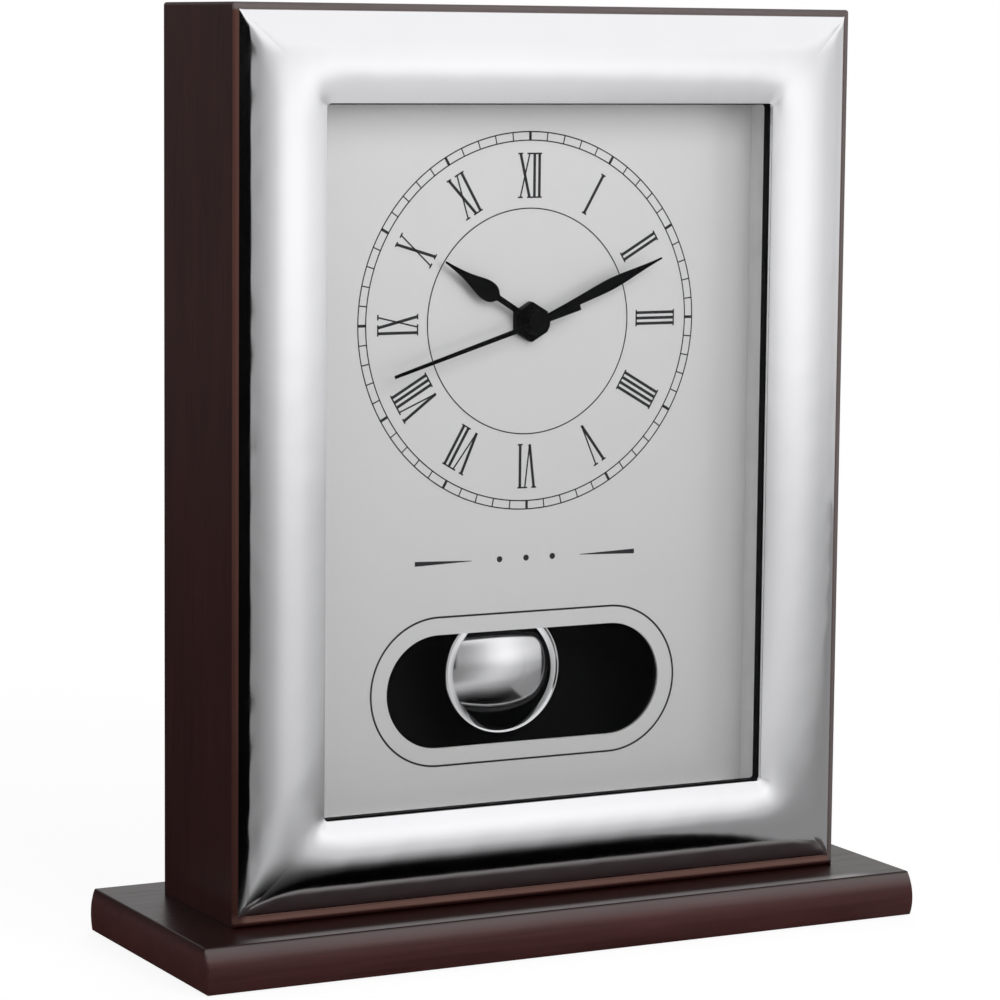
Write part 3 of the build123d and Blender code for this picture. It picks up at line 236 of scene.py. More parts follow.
def add_piece(name, surfaces, finish, body, replaced=()):
    """A new piece of the clock, which rides on a body and may stand for CAD nodes."""
    piece = mesh_object(name, surfaces)
    piece.data.materials.append(finish)
    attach(piece, body)
    if replaced:
        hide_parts(*replaced)
    return piece


def turned(profile, centre, turns=128):
    """A surface of revolution about a y axis: each (radius, y) point of the profile makes a circle."""
    angle = np.linspace(0.0, 2.0 * np.pi, turns, endpoint=False)[:, None]
    radius, depth = np.asarray(profile).T
    points = np.stack([centre[0] + radius * np.sin(angle),
                       depth + 0.0 * angle,
                       centre[1] + radius * np.cos(angle)], axis=-1)
    return grid(points, close_rows=True, close_columns=True)


def bars(starts, ends, start_width, end_width, face, height):
    """Flat bars on a plane that faces -y: each runs from start to end (x, z), its width square to that."""
    starts = np.atleast_2d(starts)
    ends = np.atleast_2d(ends)
    run = ends - starts
    side = np.stack([-run[:, 1], run[:, 0]], axis=-1) / np.linalg.norm(run, axis=1, keepdims=True)
    at_start = side * np.reshape(start_width, (-1, 1)) / 2
    at_end = side * np.reshape(end_width, (-1, 1)) / 2
    outline = np.stack([starts + at_start, starts - at_start, ends - at_end, ends + at_end], axis=1)
    front = np.insert(outline, 1, face - height, axis=2)
    back = np.insert(outline, 1, face + height / 3, axis=2)
    points = np.concatenate([front, back], axis=1)
    first = 8 * np.arange(len(points))[:, None, None]
    return points.reshape(-1, 3), (BOX_FACES + first).reshape(-1, 4)


BOX_FACES = np.array([[0, 1, 2, 3], [4, 7, 6, 5], [0, 4, 5, 1], [1, 5, 6, 2], [2, 6, 7, 3], [3, 7, 4, 0]])


def band(path, outward, width, face, height):
    """A flat band on a plane that faces -y: a rectangle carried along a closed (x, z) path."""
    inner = path - outward * width / 2
    outer = path + outward * width / 2
    front, back = face - height, face + height / 3
    corners = [np.insert(inner, 1, front, axis=1), np.insert(outer, 1, front, axis=1),
               np.insert(outer, 1, back, axis=1), np.insert(inner, 1, back, axis=1)]
    return grid(np.stack(corners, axis=1), close_rows=True, close_columns=True)


def ring(centre, radius, width, face, height, straight=0.0, steps=240):
    """A circle's line; a straight moves its halves apart by that much, into a slot with round ends."""
    angle = (np.arange(steps) + 0.5) * 2.0 * np.pi / steps
    outward = np.stack([np.cos(angle), np.sin(angle)], axis=-1)
    path = np.asarray(centre) + radius * outward
    path[:, 0] += np.sign(outward[:, 0]) * straight / 2
    return band(path, outward, width, face, height)


# Shader expressions

class Value:
    """A socket of a node tree; arithmetic on it adds Math nodes."""

    def __init__(self, sheet, socket):
        self.sheet = sheet
        self.socket = socket


def arithmetic(operation, swapped):
    """A method of Value that adds a Math node, with the other value first if swapped."""
    def method(self, other):
        pair = (other, self) if swapped else (self, other)
        return self.sheet.math(operation, *pair)
    return method


for sign, operation in (("add", "ADD"), ("sub", "SUBTRACT"), ("mul", "MULTIPLY"), ("truediv", "DIVIDE")):
    setattr(Value, f"__{sign}__", arithmetic(operation, False))
    setattr(Value, f"__r{sign}__", arithmetic(operation, True))


class Sheet:
    """A node tree and the few ways in which this file adds nodes to it."""

    def __init__(self, tree):
        self.tree = tree
        tree.nodes.clear()

    def node(self, kind, settings=None, sockets=None, out=0):
        """A node with its settings and its sockets, by name or number, and one of its outputs."""
        made = self.tree.nodes.new(kind)
        for name, value in (settings or {}).items():
            if name == "stops":
                self.set_stops(made.color_ramp, value)
            else:
                setattr(made, name, value)
        for name, value in (sockets or {}).items():
            self.put(made.inputs[name], value)
        return Value(self, made.outputs[out]) if made.outputs else made

    def put(self, socket, value):
        """Links a value to a socket, or sets the socket's own number or colour."""
        if isinstance(value, Value):
            self.tree.links.new(value.socket, socket)
        elif socket.type == "RGBA":
            socket.default_value = (*value[:3], 1.0)
        else:
            socket.default_value = value

    def set_stops(self, ramp, stops):
        """The stops of a colour ramp as (place, grey or colour) pairs."""
        while len(ramp.elements) < len(stops):
            ramp.elements.new(1.0)
        for element, (place, value) in zip(ramp.elements, stops):
            element.position = place
            element.color = (*np.broadcast_to(value, 3), 1.0)

    def math(self, operation, *values, clamp=False):
        settings = {"operation": operation, "use_clamp": clamp}
        return self.node("ShaderNodeMath", settings, dict(enumerate(values)))

    def clamp(self, value):
        return self.math("MULTIPLY", value, 1.0, clamp=True)

    def mix(self, factor, first, second, blend="MIX"):
        """A colour between two, by a factor."""
        settings = {"data_type": "RGBA", "blend_type": blend}
        return self.node("ShaderNodeMix", settings, {0: factor, 6: first, 7: second}, out=2)

    def ramp(self, value, stops):
        return self.node("ShaderNodeValToRGB", {"stops": stops}, {0: value})

    def step(self, value, low, high):
        """Rises smoothly from 0 at low to 1 at high."""
        settings = {"interpolation_type": "SMOOTHSTEP"}
        return self.node("ShaderNodeMapRange", settings, {"Value": value, "From Min": low, "From Max": high})

    def place(self, stretch=(1.0, 1.0, 1.0)):
        """Object coordinates, with each axis scaled."""
        spot = self.node("ShaderNodeTexCoord", out="Object")
        return self.node("ShaderNodeMapping", None, {"Vector": spot, "Scale": stretch})

    def axes(self, vector):
        """The three numbers of a vector."""
        split = self.tree.nodes.new("ShaderNodeSeparateXYZ")
        self.put(split.inputs[0], vector)
        return [Value(self, output) for output in split.outputs]

    def noise(self, scale, stretch=(1.0, 1.0, 1.0), detail=3.0, rough=0.5):
        """Noise of that many waves to the metre, drawn out along the axes whose stretch is small."""
        sockets = {"Vector": self.place(stretch), "Scale": scale, "Detail": detail, "Roughness": rough}
        return self.node("ShaderNodeTexNoise", None, sockets)


class Finish(Sheet):
    """A material with a Principled shader."""

    def __init__(self, name):
        self.material = bpy.data.materials.new(name)
        self.material.use_nodes = True
        super().__init__(self.material.node_tree)
        self.shader = self.tree.nodes.new("ShaderNodeBsdfPrincipled")
        self.output = self.tree.nodes.new("ShaderNodeOutputMaterial")
        self.tree.links.new(self.shader.outputs[0], self.output.inputs["Surface"])

    def set(self, **sockets):
        """Sets sockets of the shader by their names in lower case with underscores."""
        for name, value in sockets.items():
            label = name.replace("_", " ").title().replace("Ior", "IOR")
            self.put(self.shader.inputs[label], value)

    def bump(self, height, depth, strength=1.0):
        """Raises the surface by height times a depth."""
        sockets = {"Height": height, "Distance": depth, "Strength": strength}
        self.set(normal=self.node("ShaderNodeBump", None, sockets))


# Finishes

def scaled(tint, times):
    """A colour with each part times a number."""
    return [times * part for part in tint]


def drawn_out(along, amount):
    """A stretch that draws noise out along one axis."""
    return [amount if axis == along else 1.0 for axis in "xyz"]


def wood_finish(name, along, wood):
    """Stained wood: streaks and pores drawn out along the grain, and dark paint inside the case."""
    finish = Finish(name)
    streak = finish.noise(750.0, drawn_out(along, 0.035), detail=5.0, rough=0.62)
    tone = finish.noise(70.0, drawn_out(along, 0.25), detail=2.0)
    pore = finish.step(finish.noise(2400.0, drawn_out(along, 0.02), detail=2.0), 0.56, 0.72)
    shade = finish.clamp(1.5 * streak + 0.9 * tone - 0.7)
    pore_and_shade_colour = scaled(wood.dark, 0.45)
    wood_colour = finish.mix(0.55 * pore, finish.mix(shade, wood.dark, wood.light), pore_and_shade_colour)
    painted = inside_case(finish)
    spot = finish.axes(finish.place())
    # Painted highlight on the case's front edge, then painted shade and light on the base.
    wood_colour = paint_edge_highlight(finish, wood, spot, wood_colour, streak)
    wood_colour, rubbed = paint_base_light_and_coat(finish, wood, spot, wood_colour, shade, pore_and_shade_colour)
    finish.set(base_color=finish.mix(painted, wood_colour, wood.inside),
               roughness=0.30 + 0.08 * streak + 0.10 * pore + 0.3 * painted,
               coat_weight=rubbed, coat_roughness=0.30, coat_ior=1.8, ior=1.26)
    finish.bump(0.5 * streak - pore, 0.012 * MM, 0.5)
    return finish.material


def paint_edge_highlight(finish, wood, spot, wood_colour, streak):
    """Paints a highlight along the case's rounded front edge: paler at the foot, grey at the top and right,
    and fainter low on the left.
    """
    across, depth, height = spot
    left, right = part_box("case_left_side")[0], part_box("case_right_side")[1]
    front, foot = left.y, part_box("case_bottom")[0].z
    # Band of painted highlight on the rounded front edge, fainter low on the left.
    pale_band = finish.step(depth, front + 0.9 * MM, front + 0.3 * MM)
    pale_band = pale_band * finish.step(depth, front - 0.5 * MM, front)
    pale_band = pale_band * finish.step(height, foot + 0.9 * MM, foot + 1.5 * MM)
    off_left = finish.step(across, left.x + 2.0 * MM, left.x + 4.0 * MM)
    high_up = finish.step(height, 0.1 * right.z, 0.6 * right.z)
    pale_band = pale_band * (0.35 + 0.65 * finish.math("MAXIMUM", off_left, high_up))
    at_right = finish.step(across, right.x - 2.0 * MM, right.x - 1.0 * MM)
    at_top = finish.step(height, right.z - 2.0 * MM, right.z - 1.0 * MM)
    at_foot = finish.step(height, foot + 4.0 * MM, foot + 2.0 * MM)
    edge = finish.mix(at_foot, wood.edge_highlight, wood.foot_edge_highlight)
    edge = finish.mix(finish.math("MAXIMUM", at_right, at_top), edge, wood.grey_edge_highlight)
    return finish.mix(pale_band * (0.5 + 0.5 * streak), wood_colour, edge)


def paint_base_light_and_coat(finish, wood, spot, wood_colour, shade, pore_and_shade_colour):
    """Paints shade on the base's top, a pale highlight along the top's front edge and lighter grain low on
    the base, and says where its noses have a coat.
    """
    across, depth, height = spot
    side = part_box("case_right_side")[1].x
    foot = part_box("case_bottom")[0].z
    nose = -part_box("base_plinth")[0].y - NOSE_DEPTH
    # Painted shade: the base's top, and the foot of the case just above it, darker.
    painted_top_shade = finish.step(height, foot - 0.5 * MM, foot - 0.1 * MM)
    painted_top_shade = painted_top_shade - finish.step(height, foot + 0.1 * MM, foot + 0.5 * MM)
    wood_colour = finish.mix(0.7 * painted_top_shade, wood_colour, pore_and_shade_colour)
    # Painted light: lighter grain low on the base, on its front and ends.
    low = finish.step(height, foot, 0.75 * foot)
    wood_colour = finish.mix(low, wood_colour, finish.mix(shade, wood.lit_plinth_dark, wood.lit_plinth_light))
    ahead = 0.0 - depth
    # Painted highlight: a pale strip behind the front edge of the base's top, stopping just short of the
    # edge itself.
    crease_highlight = finish.step(ahead, nose - 5.0 * MM, nose - 1.2 * MM)
    crease_highlight = crease_highlight - finish.step(ahead, nose - 0.3 * MM, nose)
    crease_highlight = crease_highlight * finish.step(height, foot - 0.3 * MM, foot - 0.05 * MM)
    crease_highlight = crease_highlight * finish.step(finish.math("ABSOLUTE", across), side + 6.0 * MM, side - 6.0 * MM)
    wood_colour = finish.mix(0.85 * crease_highlight, wood_colour, wood.crease_highlight)
    rubbed = finish.step(finish.math("ABSOLUTE", depth), nose + 0.1 * MM, nose + 0.5 * MM)
    return wood_colour, rubbed * finish.step(height, 0.6 * foot, 0.96 * foot)


NOSE_DEPTH = 2.8 * MM


def inside_case(finish):
    """1 on the faces that look into the case behind the dial, and 0 elsewhere."""
    low = [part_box("case_left_side")[1].x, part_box("dial_board")[0].y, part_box("case_bottom")[1].z]
    high = [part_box("case_right_side")[0].x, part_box("back_door")[0].y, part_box("case_top")[0].z]
    inside = None
    for axis, start, end in zip(finish.axes(finish.place()), low, high):
        middle, half = (start + end) / 2, (end - start) / 2 + PAINT_EDGE
        within = finish.math("LESS_THAN", finish.math("ABSOLUTE", axis - middle), half)
        inside = within if inside is None else inside * within
    return inside


PAINT_EDGE = 0.05 * MM


def felt_finish(name, tint):
    """Pressed felt: a mottled colour with a coarse nap of fibres."""
    finish = Finish(name)
    nap = finish.noise(1800.0, detail=4.0, rough=0.7)
    finish.set(base_color=finish.mix(nap, scaled(tint, 0.5), scaled(tint, 1.6)),
               roughness=0.95, sheen_weight=0.3)
    finish.bump(nap, 0.12 * MM, 0.8)
    return finish.material


def polished_finish(name, tint, rough=0.07):
    """Polished plate: a mirror with faint clouding, fine wiping marks and a breath of ripple."""
    finish = Finish(name)
    cloud = finish.noise(60.0, detail=3.0)
    wipe = finish.noise(2600.0, (1.0, 1.0, 0.12), detail=2.0)
    finish.set(base_color=finish.mix(cloud, scaled(tint, 0.96), tint), metallic=1.0,
               roughness=rough + 0.05 * cloud + 0.02 * wipe)
    finish.bump(finish.noise(240.0, detail=1.0), 0.010 * MM, 0.5)
    return finish.material


def brushed_finish(name, tint, rough=0.35, along="z", metallic=1.0):
    """Brushed metal: fine lines drawn out along one axis, over a slow change of tone."""
    finish = Finish(name)
    brush = finish.noise(3200.0, drawn_out(along, 0.03), detail=3.0)
    tone = finish.noise(90.0, detail=2.0)
    shade = finish.clamp(0.6 * brush + 0.4 * tone)
    finish.set(base_color=finish.mix(shade, scaled(tint, 0.86), tint), metallic=metallic,
               roughness=rough + 0.12 * (brush - 0.5))
    finish.bump(brush, 0.006 * MM, 0.4)
    return finish.material


def moulded_finish(name, tint, rough=0.45, shine=0.5):
    """Moulded plastic: a fine spark texture with slightly uneven colour and gloss."""
    finish = Finish(name)
    spark = finish.noise(3000.0, detail=2.0)
    tone = finish.noise(120.0, detail=2.0)
    finish.set(base_color=finish.mix(tone, scaled(tint, 0.8), tint),
               roughness=rough + 0.10 * tone + 0.06 * (spark - 0.5), specular_ior_level=shine)
    finish.bump(spark, 0.02 * MM, 0.35)
    return finish.material


def dress(finish, *names):
    """Gives CAD nodes a material."""
    for name in names:
        node = NODES[name]
        node.data.materials.clear()
        node.data.materials.append(finish)


def settings(name):
    return getattr(bpy.context.scene, name)


def middle_of(name):
    """The middle (x, z) of a CAD node's box."""
    low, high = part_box(name)
    return np.array([(low.x + high.x) / 2, (low.z + high.z) / 2])


# Pieces

class CLOCK_OT_wood(bpy.types.Operator):
    """Finish the case, its mouldings, the base and the door in stained wood"""
    bl_idname = "clock.wood"
    bl_label = "Wooden Case"

    def execute(self, context):
        wood = settings("clock_wood")
        upright = wood_finish("mahogany_upright", "z", wood)
        level = wood_finish("mahogany_level", "x", wood)
        dress(upright, "case_left_side", "case_right_side", "moulding_left", "moulding_right", "back_door")
        dress(level, "base_plinth", "case_top", "case_bottom", "moulding_top", "moulding_bottom",
              "door_knob")
        dress(felt_finish("base_felt_nap", wood.felt), "base_felt")
        return {"FINISHED"}


def arc(middle, radius, start, end, steps):
    """Points (u, v) of an arc, with its angles from the v axis towards u."""
    angle = np.linspace(start, end, steps)
    return np.stack([middle[0] + radius * np.sin(angle), middle[1] + radius * np.cos(angle)], axis=-1)


def silver_face(silver, inset=0.0):
    """The front's section from lip to edge as (u, v): u outward from the lip, v in front of the case.

    Four arcs, each tangent to the next: the lip's roll, the rise to the crest, the fall to the
    shoulder, and the flank, which ends on the front of the case. An inset gives the same
    face that much deeper in the sheet.
    """
    roll_end = silver.roll * (1.0 - np.sin(silver.lean))
    rise = (silver.crest_at - roll_end) / np.sin(silver.lean)
    fall = (silver.shoulder_at - silver.crest_at) / np.sin(silver.fall)
    roll_height = silver.crest - (rise - (rise - silver.roll) * np.cos(silver.lean))
    drop = silver.crest - fall * (1.0 - np.cos(silver.fall))
    reach = silver.width - silver.shoulder_at
    flank_end = 2.0 * np.arctan2(drop, reach) - silver.fall
    flank = reach / (np.sin(flank_end) - np.sin(silver.fall))
    flank_middle = (silver.shoulder_at - flank * np.sin(silver.fall), drop - flank * np.cos(silver.fall))
    flank_stop = np.arccos(-flank_middle[1] / (flank - inset))
    return np.concatenate([
        arc((silver.roll, roll_height), silver.roll - inset, -np.pi / 2, -silver.lean, 12)[:-1],
        arc((silver.crest_at, silver.crest - rise), rise - inset, -silver.lean, 0.0, 18)[:-1],
        arc((silver.crest_at, silver.crest - fall), fall - inset, 0.0, silver.fall, 24)[:-1],
        arc(flank_middle, flank - inset, silver.fall, flank_stop, 16),
    ])


def smooth(value, low, high):
    """Rises from 0 at low to 1 at high along the cubic 3t^2 - 2t^3."""
    t = np.clip((value - low) / (high - low), 0.0, 1.0)
    return t * t * (3.0 - 2.0 * t)


def ripple(across, up):
    """A field of shallow waves between -1 and 1: the mean of sines of different lengths and directions."""
    number = np.arange(6)
    turn = number * 2.4
    wave = 2.0 * np.pi / ((6.0 + 2.3 * number) * MM)
    phase = (across[..., None] * np.cos(turn) + up[..., None] * np.sin(turn)) * wave + 1.7 * number
    return np.sin(phase).mean(axis=-1)


def rounded_loops(half, reach, radius, steps=120):
    """Nested rectangles as (x, z) loops: the half size plus a reach, with corners of a radius.

    Points are close together at the corners. A point nearer to a corner than the radius moves
    onto the corner's arc, through 45 degrees at most from either side.
    """
    along = 0.5 - 0.5 * np.cos(np.pi * np.arange(steps) / steps)
    corners = np.array([[-1.0, 1.0], [1.0, 1.0], [1.0, -1.0], [-1.0, -1.0]])
    sides = corners[:, None] + (np.roll(corners, -1, axis=0) - corners)[:, None] * along[:, None]
    sides = sides.reshape(-1, 1, 2)
    size = half + np.reshape(reach, (-1, 1))
    radius = np.maximum(np.reshape(radius, (-1, 1)), WELD)
    left = size - np.abs(sides * size)
    turn = np.pi / 4 * np.clip(1.0 - left.max(axis=-1, keepdims=True) / radius, 0.0, 1.0)
    on_arc = size - radius + radius * np.where(left == 0.0, np.cos(turn), np.sin(turn))
    return np.sign(sides) * np.where(turn > 0.0, on_arc, np.abs(sides * size))


def front_opening(silver):
    """Middle and half size (x, z) of the opening in the silver, and the y of the case's front."""
    low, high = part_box("silver_frame")
    middle = middle_of("silver_frame")
    half = np.array([(high.x - low.x) / 2, (high.z - low.z) / 2]) - silver.width
    return middle, half, low.y + silver.crest


def pressed_height(silver, spot, half, face):
    """Height in front of the case of points (x, z) on a face's loops.

    It is the section's height at the distance from the outer edge. Near a corner the distances
    a and b to the two edges are joined by the smooth minimum min(a, b) - k (1 - |a - b| / k)^3 / 6,
    whose reach k dies out at the lip and at the edge. The lip's roll keeps its own height,
    and the shoulder strays a little from its line.
    """
    across = face[:, 0]
    left = half + silver.width - np.abs(spot)
    inward = np.maximum(across - silver.roll, WELD)
    outward = np.maximum(silver.width - across, WELD)
    reach = (silver.corner ** -2 + (LIP_BLEND * inward) ** -2 + (EDGE_BLEND * outward) ** -2) ** -0.5
    overlap = np.maximum(1.0 - np.abs(left[..., 0] - left[..., 1]) / reach, 0.0)
    blended = silver.width - left.min(axis=-1) + overlap ** 3 * reach / 6.0
    shift = blended - across
    waves = ripple(spot[..., 0], spot[..., 1])
    shift = shift * smooth(across, silver.roll, silver.roll + 2.6 * MM)
    at_shoulder = smooth(across, silver.shoulder_at - 3.0 * MM, silver.shoulder_at)
    at_shoulder *= 1.0 - smooth(across, silver.shoulder_at, silver.width - 0.8 * MM)
    shift = shift + silver.waver * at_shoulder * waves
    pressed = smooth(across, silver.roll, silver.roll + 0.6 * MM)
    pressed *= 1.0 - smooth(across, silver.shoulder_at, silver.width)
    return np.interp(across + shift, across, face[:, 1]) + silver.ripple * pressed * waves


# How fast the corner's blend grows with the distance from the lip and from the outer edge
LIP_BLEND = 4.0
EDGE_BLEND = 2.2


def silver_surface(silver):
    """The pressed sheet: two faces carried round nested rectangles, joined at the lip and outer edge."""
    middle, half, case_front = front_opening(silver)
    outer = silver_face(silver)
    inner = silver_face(silver, silver.sheet)[::-1]
    lip = np.array([[silver.sheet, -silver.lip_depth], [0.0, -silver.lip_depth]])
    across = np.concatenate([outer[:, 0], inner[:, 0], lip[:, 0]])
    radius = (silver.lip_corner + across) * (1.0 - smooth(across, silver.roll, silver.crest_at))
    spot = rounded_loops(half, across, radius)
    fronts = pressed_height(silver, spot[:, :len(outer)], half, outer)
    backs = pressed_height(silver, spot[:, -3:len(outer) - 1:-1], half, inner[::-1])
    height = np.concatenate([fronts, backs[:, ::-1], 0.0 * fronts[:, :2] + lip[:, 1]], axis=1)
    spot = spot + middle
    points = np.stack([spot[..., 0], case_front - height, spot[..., 1]], axis=-1)
    return grid(points, close_rows=True, close_columns=True)


def lining_surface(silver):
    """The black lining inside the opening: a thin rectangle carried round the lip, just inside it."""
    middle, half, case_front = front_opening(silver)
    gap = 0.02 * MM
    across = np.array([-silver.lining, -gap, -gap, -silver.lining])
    top = silver_face(silver)[0, 1] - silver.lining_below
    height = np.array([top, top, -silver.lip_depth + gap, -silver.lip_depth + gap])
    spot = rounded_loops(half, across, silver.lip_corner + across) + middle
    points = np.stack([spot[..., 0], case_front - height + 0.0 * spot[..., 0], spot[..., 1]], axis=-1)
    return grid(points, close_rows=True, close_columns=True)


class CLOCK_OT_silver_front(bpy.types.Operator):
    """Make the polished silver front with its blended corners"""
    bl_idname = "clock.silver_front"
    bl_label = "Silver Front"

    def execute(self, context):
        silver = settings("clock_silver")
        finish = polished_finish("polished_silver", silver.tint)
        add_piece("silver_front", [silver_surface(silver)], finish, "case", ["silver_frame"])
        black = moulded_finish("lining_black", (0.004, 0.004, 0.004), 0.6, 0.1)
        add_piece("lip_lining", [lining_surface(silver)], black, "case")
        return {"FINISHED"}


def glass_finish(name):
    """Clear glass: light goes straight through, with a thin reflection that grows at low angles."""
    finish = Finish(name)
    smear = finish.noise(30.0, detail=2.0)
    finish.set(base_color=(0.96, 0.97, 0.97), metallic=1.0, roughness=0.02 + 0.05 * smear)
    clear = finish.node("ShaderNodeBsdfTransparent", None, {"Color": (0.99, 0.99, 0.99)})
    edge = finish.node("ShaderNodeFresnel", None, {"IOR": 1.45})
    sheen = Value(finish, finish.shader.outputs[0])
    both = finish.node("ShaderNodeMixShader", None, {0: 0.06 * edge, 1: clear, 2: sheen})
    finish.put(finish.output.inputs["Surface"], both)
    return finish.material


class CLOCK_OT_glass(bpy.types.Operator):
    """Finish the front glass and the spacer behind it"""
    bl_idname = "clock.glass"
    bl_label = "Glass"

    def execute(self, context):
        dress(glass_finish("clear_front_glass"), "front_glass")
        dress(moulded_finish("spacer_pale_plastic", (0.92, 0.92, 0.92), 0.5), "dial_spacer")
        return {"FINISHED"}


NUMERALS = ("XII", "I", "II", "III", "IIII", "V", "VI", "VII", "VIII", "IX", "X", "XI")


def numeral_strokes(letters, dial):
    """A numeral's strokes as rows of (start across, start up, end across, end up, width).

    Up runs from 0 at the feet to 1 at the tops. Each upright, and each slanted stroke of X
    and V, ends in a serif as long as the pitch, so that the serifs of neighbours join.
    """
    thick, thin = dial.thick_stroke, dial.thin_stroke
    strokes = []
    ends = []
    across = 0.0
    for letter in letters:
        if letter == "I":
            strokes.append((across, 0.0, across, 1.0, thick))
            ends += [(across, 0.0), (across, 1.0)]
            across += dial.letter_pitch
            continue
        right = across + dial.letter_width
        foot = (across + right) / 2
        if letter == "X":
            strokes.append((across, 1.0, right, 0.0, thick))
            strokes.append((right, 1.0, across, 0.0, thin))
            ends += [(across, 0.0), (right, 0.0)]
        else:
            strokes.append((across, 1.0, foot, 0.0, thick))
            strokes.append((right, 1.0, foot, 0.0, thin))
        ends += [(across, 1.0), (right, 1.0)]
        across = right + dial.letter_pitch
    half = dial.letter_pitch / 2
    serifs = [(end - half, up, end + half, up, thin) for end, up in ends]
    rows = np.array(strokes + serifs)
    rows[:, [0, 2]] -= (across - dial.letter_pitch) / 2
    return rows


def numeral_bars(dial, centre, face):
    """The twelve numerals as bars: each is drawn upright, stood on its radius and turned to its hour."""
    rise = dial.numeral_top - dial.numeral_foot - dial.thin_stroke
    foot = dial.numeral_foot + dial.thin_stroke / 2
    surfaces = []
    for hour, letters in enumerate(NUMERALS):
        rows = numeral_strokes(letters, dial)
        turn = hour * np.pi / 6
        turned_axes = np.array([[np.cos(turn), -np.sin(turn)], [np.sin(turn), np.cos(turn)]])
        rows[:, [1, 3]] = foot + rise * rows[:, [1, 3]]
        starts = centre + rows[:, :2] @ turned_axes
        ends = centre + rows[:, 2:4] @ turned_axes
        surfaces.append(bars(starts, ends, rows[:, 4], rows[:, 4], face, dial.ink_height))
    return surfaces


def minute_track(dial, centre, face):
    """Two rings with sixty lines between, every fifth one bold, and the ring inside the numerals."""
    minute = np.arange(60)
    turn = minute * np.pi / 30
    out = np.stack([np.sin(turn), np.cos(turn)], axis=-1)
    width = np.where(minute % 5 == 0, dial.bold_line, dial.fine_line)
    lines = bars(centre + dial.track_inner * out, centre + dial.track_outer * out, width, width,
                 face, dial.ink_height)
    rings = [ring(centre, radius, dial.fine_line, face, dial.ink_height)
             for radius in (dial.track_outer, dial.track_inner, dial.centre_ring)]
    return rings + [lines]


def ornament_row(dial, face):
    """Three dots between two dashes, each dash tapered from a thick outer end to a point."""
    side = np.array([[-1.0], [1.0]])
    starts = np.hstack([side * dial.dash_inner, 0.0 * side + dial.row_height])
    ends = np.hstack([side * dial.dash_outer, 0.0 * side + dial.row_height])
    dashes = bars(starts, ends, dial.fine_line / 2, dial.dash_width, face, dial.ink_height)
    front, back = face - dial.ink_height, face + dial.ink_height / 3
    dot = [(0.0, back), (dial.dot_radius, back), (dial.dot_radius, front), (0.0, front)]
    dots = [turned(dot, (place * dial.dot_pitch, dial.row_height), 32) for place in (-1, 0, 1)]
    return [dashes] + dots


def ink_finish(name, tint):
    """Printing ink: matt, a little uneven in its cover."""
    finish = Finish(name)
    cover = finish.noise(1500.0, detail=3.0)
    finish.set(base_color=finish.mix(cover, tint, scaled(tint, 2.2)), roughness=0.55 + 0.15 * cover)
    return finish.material


def dial_finish(name, tint):
    """Satin plate: upright brushing too fine to count, with a faint cloud over it."""
    finish = Finish(name)
    brush = finish.noise(4200.0, (1.0, 1.0, 0.02), detail=2.0)
    cloud = finish.noise(35.0, detail=2.0)
    shade = finish.clamp(0.5 * brush + 0.5 * cloud)
    finish.set(base_color=finish.mix(shade, scaled(tint, 0.97), scaled(tint, 1.03)),
               metallic=0.2, roughness=0.36 + 0.06 * (brush - 0.5))
    finish.bump(brush, 0.003 * MM, 0.25)
    return finish.material


class CLOCK_OT_dial(bpy.types.Operator):
    """Finish the dial plate and print its numerals, minute track and ornaments"""
    bl_idname = "clock.dial"
    bl_label = "Dial"

    def execute(self, context):
        dial = settings("clock_dial")
        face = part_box("dial_plate")[0].y
        centre = middle_of("minute_arbor")
        ink = ink_finish("printing_ink", dial.ink)
        dress(dial_finish("satin_dial", dial.plate), "dial_plate")
        dress(moulded_finish("dial_board_black", (0.008, 0.008, 0.009), 0.6), "dial_board")
        add_piece("dial_numerals", numeral_bars(dial, centre, face), ink, "case")
        add_piece("dial_minute_track", minute_track(dial, centre, face), ink, "case")
        add_piece("dial_ornament_row", ornament_row(dial, face), ink, "case")
        window = frame_opening("pendulum_window")
        outline = ring(window, dial.outline_height / 2, dial.outline_line, face, dial.ink_height,
                       straight=dial.outline_width - dial.outline_height)
        add_piece("dial_window_line", [outline], ink, "case")
        return {"FINISHED"}


def frame_opening(name):
    """The middle (x, z) of one of the record's openings, in metres."""
    for opening in frame["record"]["physics"]["openings"]:
        if opening["name"] == name:
            low, high = np.array(opening["box_m"])
            return ((low + high) / 2)[[0, 2]]
    raise KeyError(name)


class CLOCK_OT_hands(bpy.types.Operator):
    """Finish the hands and the fittings at their middle"""
    bl_idname = "clock.hands"
    bl_label = "Hands"

    def execute(self, context):
        black = moulded_finish("hand_black_lacquer", (0.002, 0.002, 0.0024), 0.38, 0.04)
        dress(black, "hour_hand", "minute_hand", "second_hand", "mounting_nut", "centre_bush")
        dress(moulded_finish("washer_rubber_black", (0.012, 0.012, 0.012), 0.7), "mounting_washer")
        return {"FINISHED"}


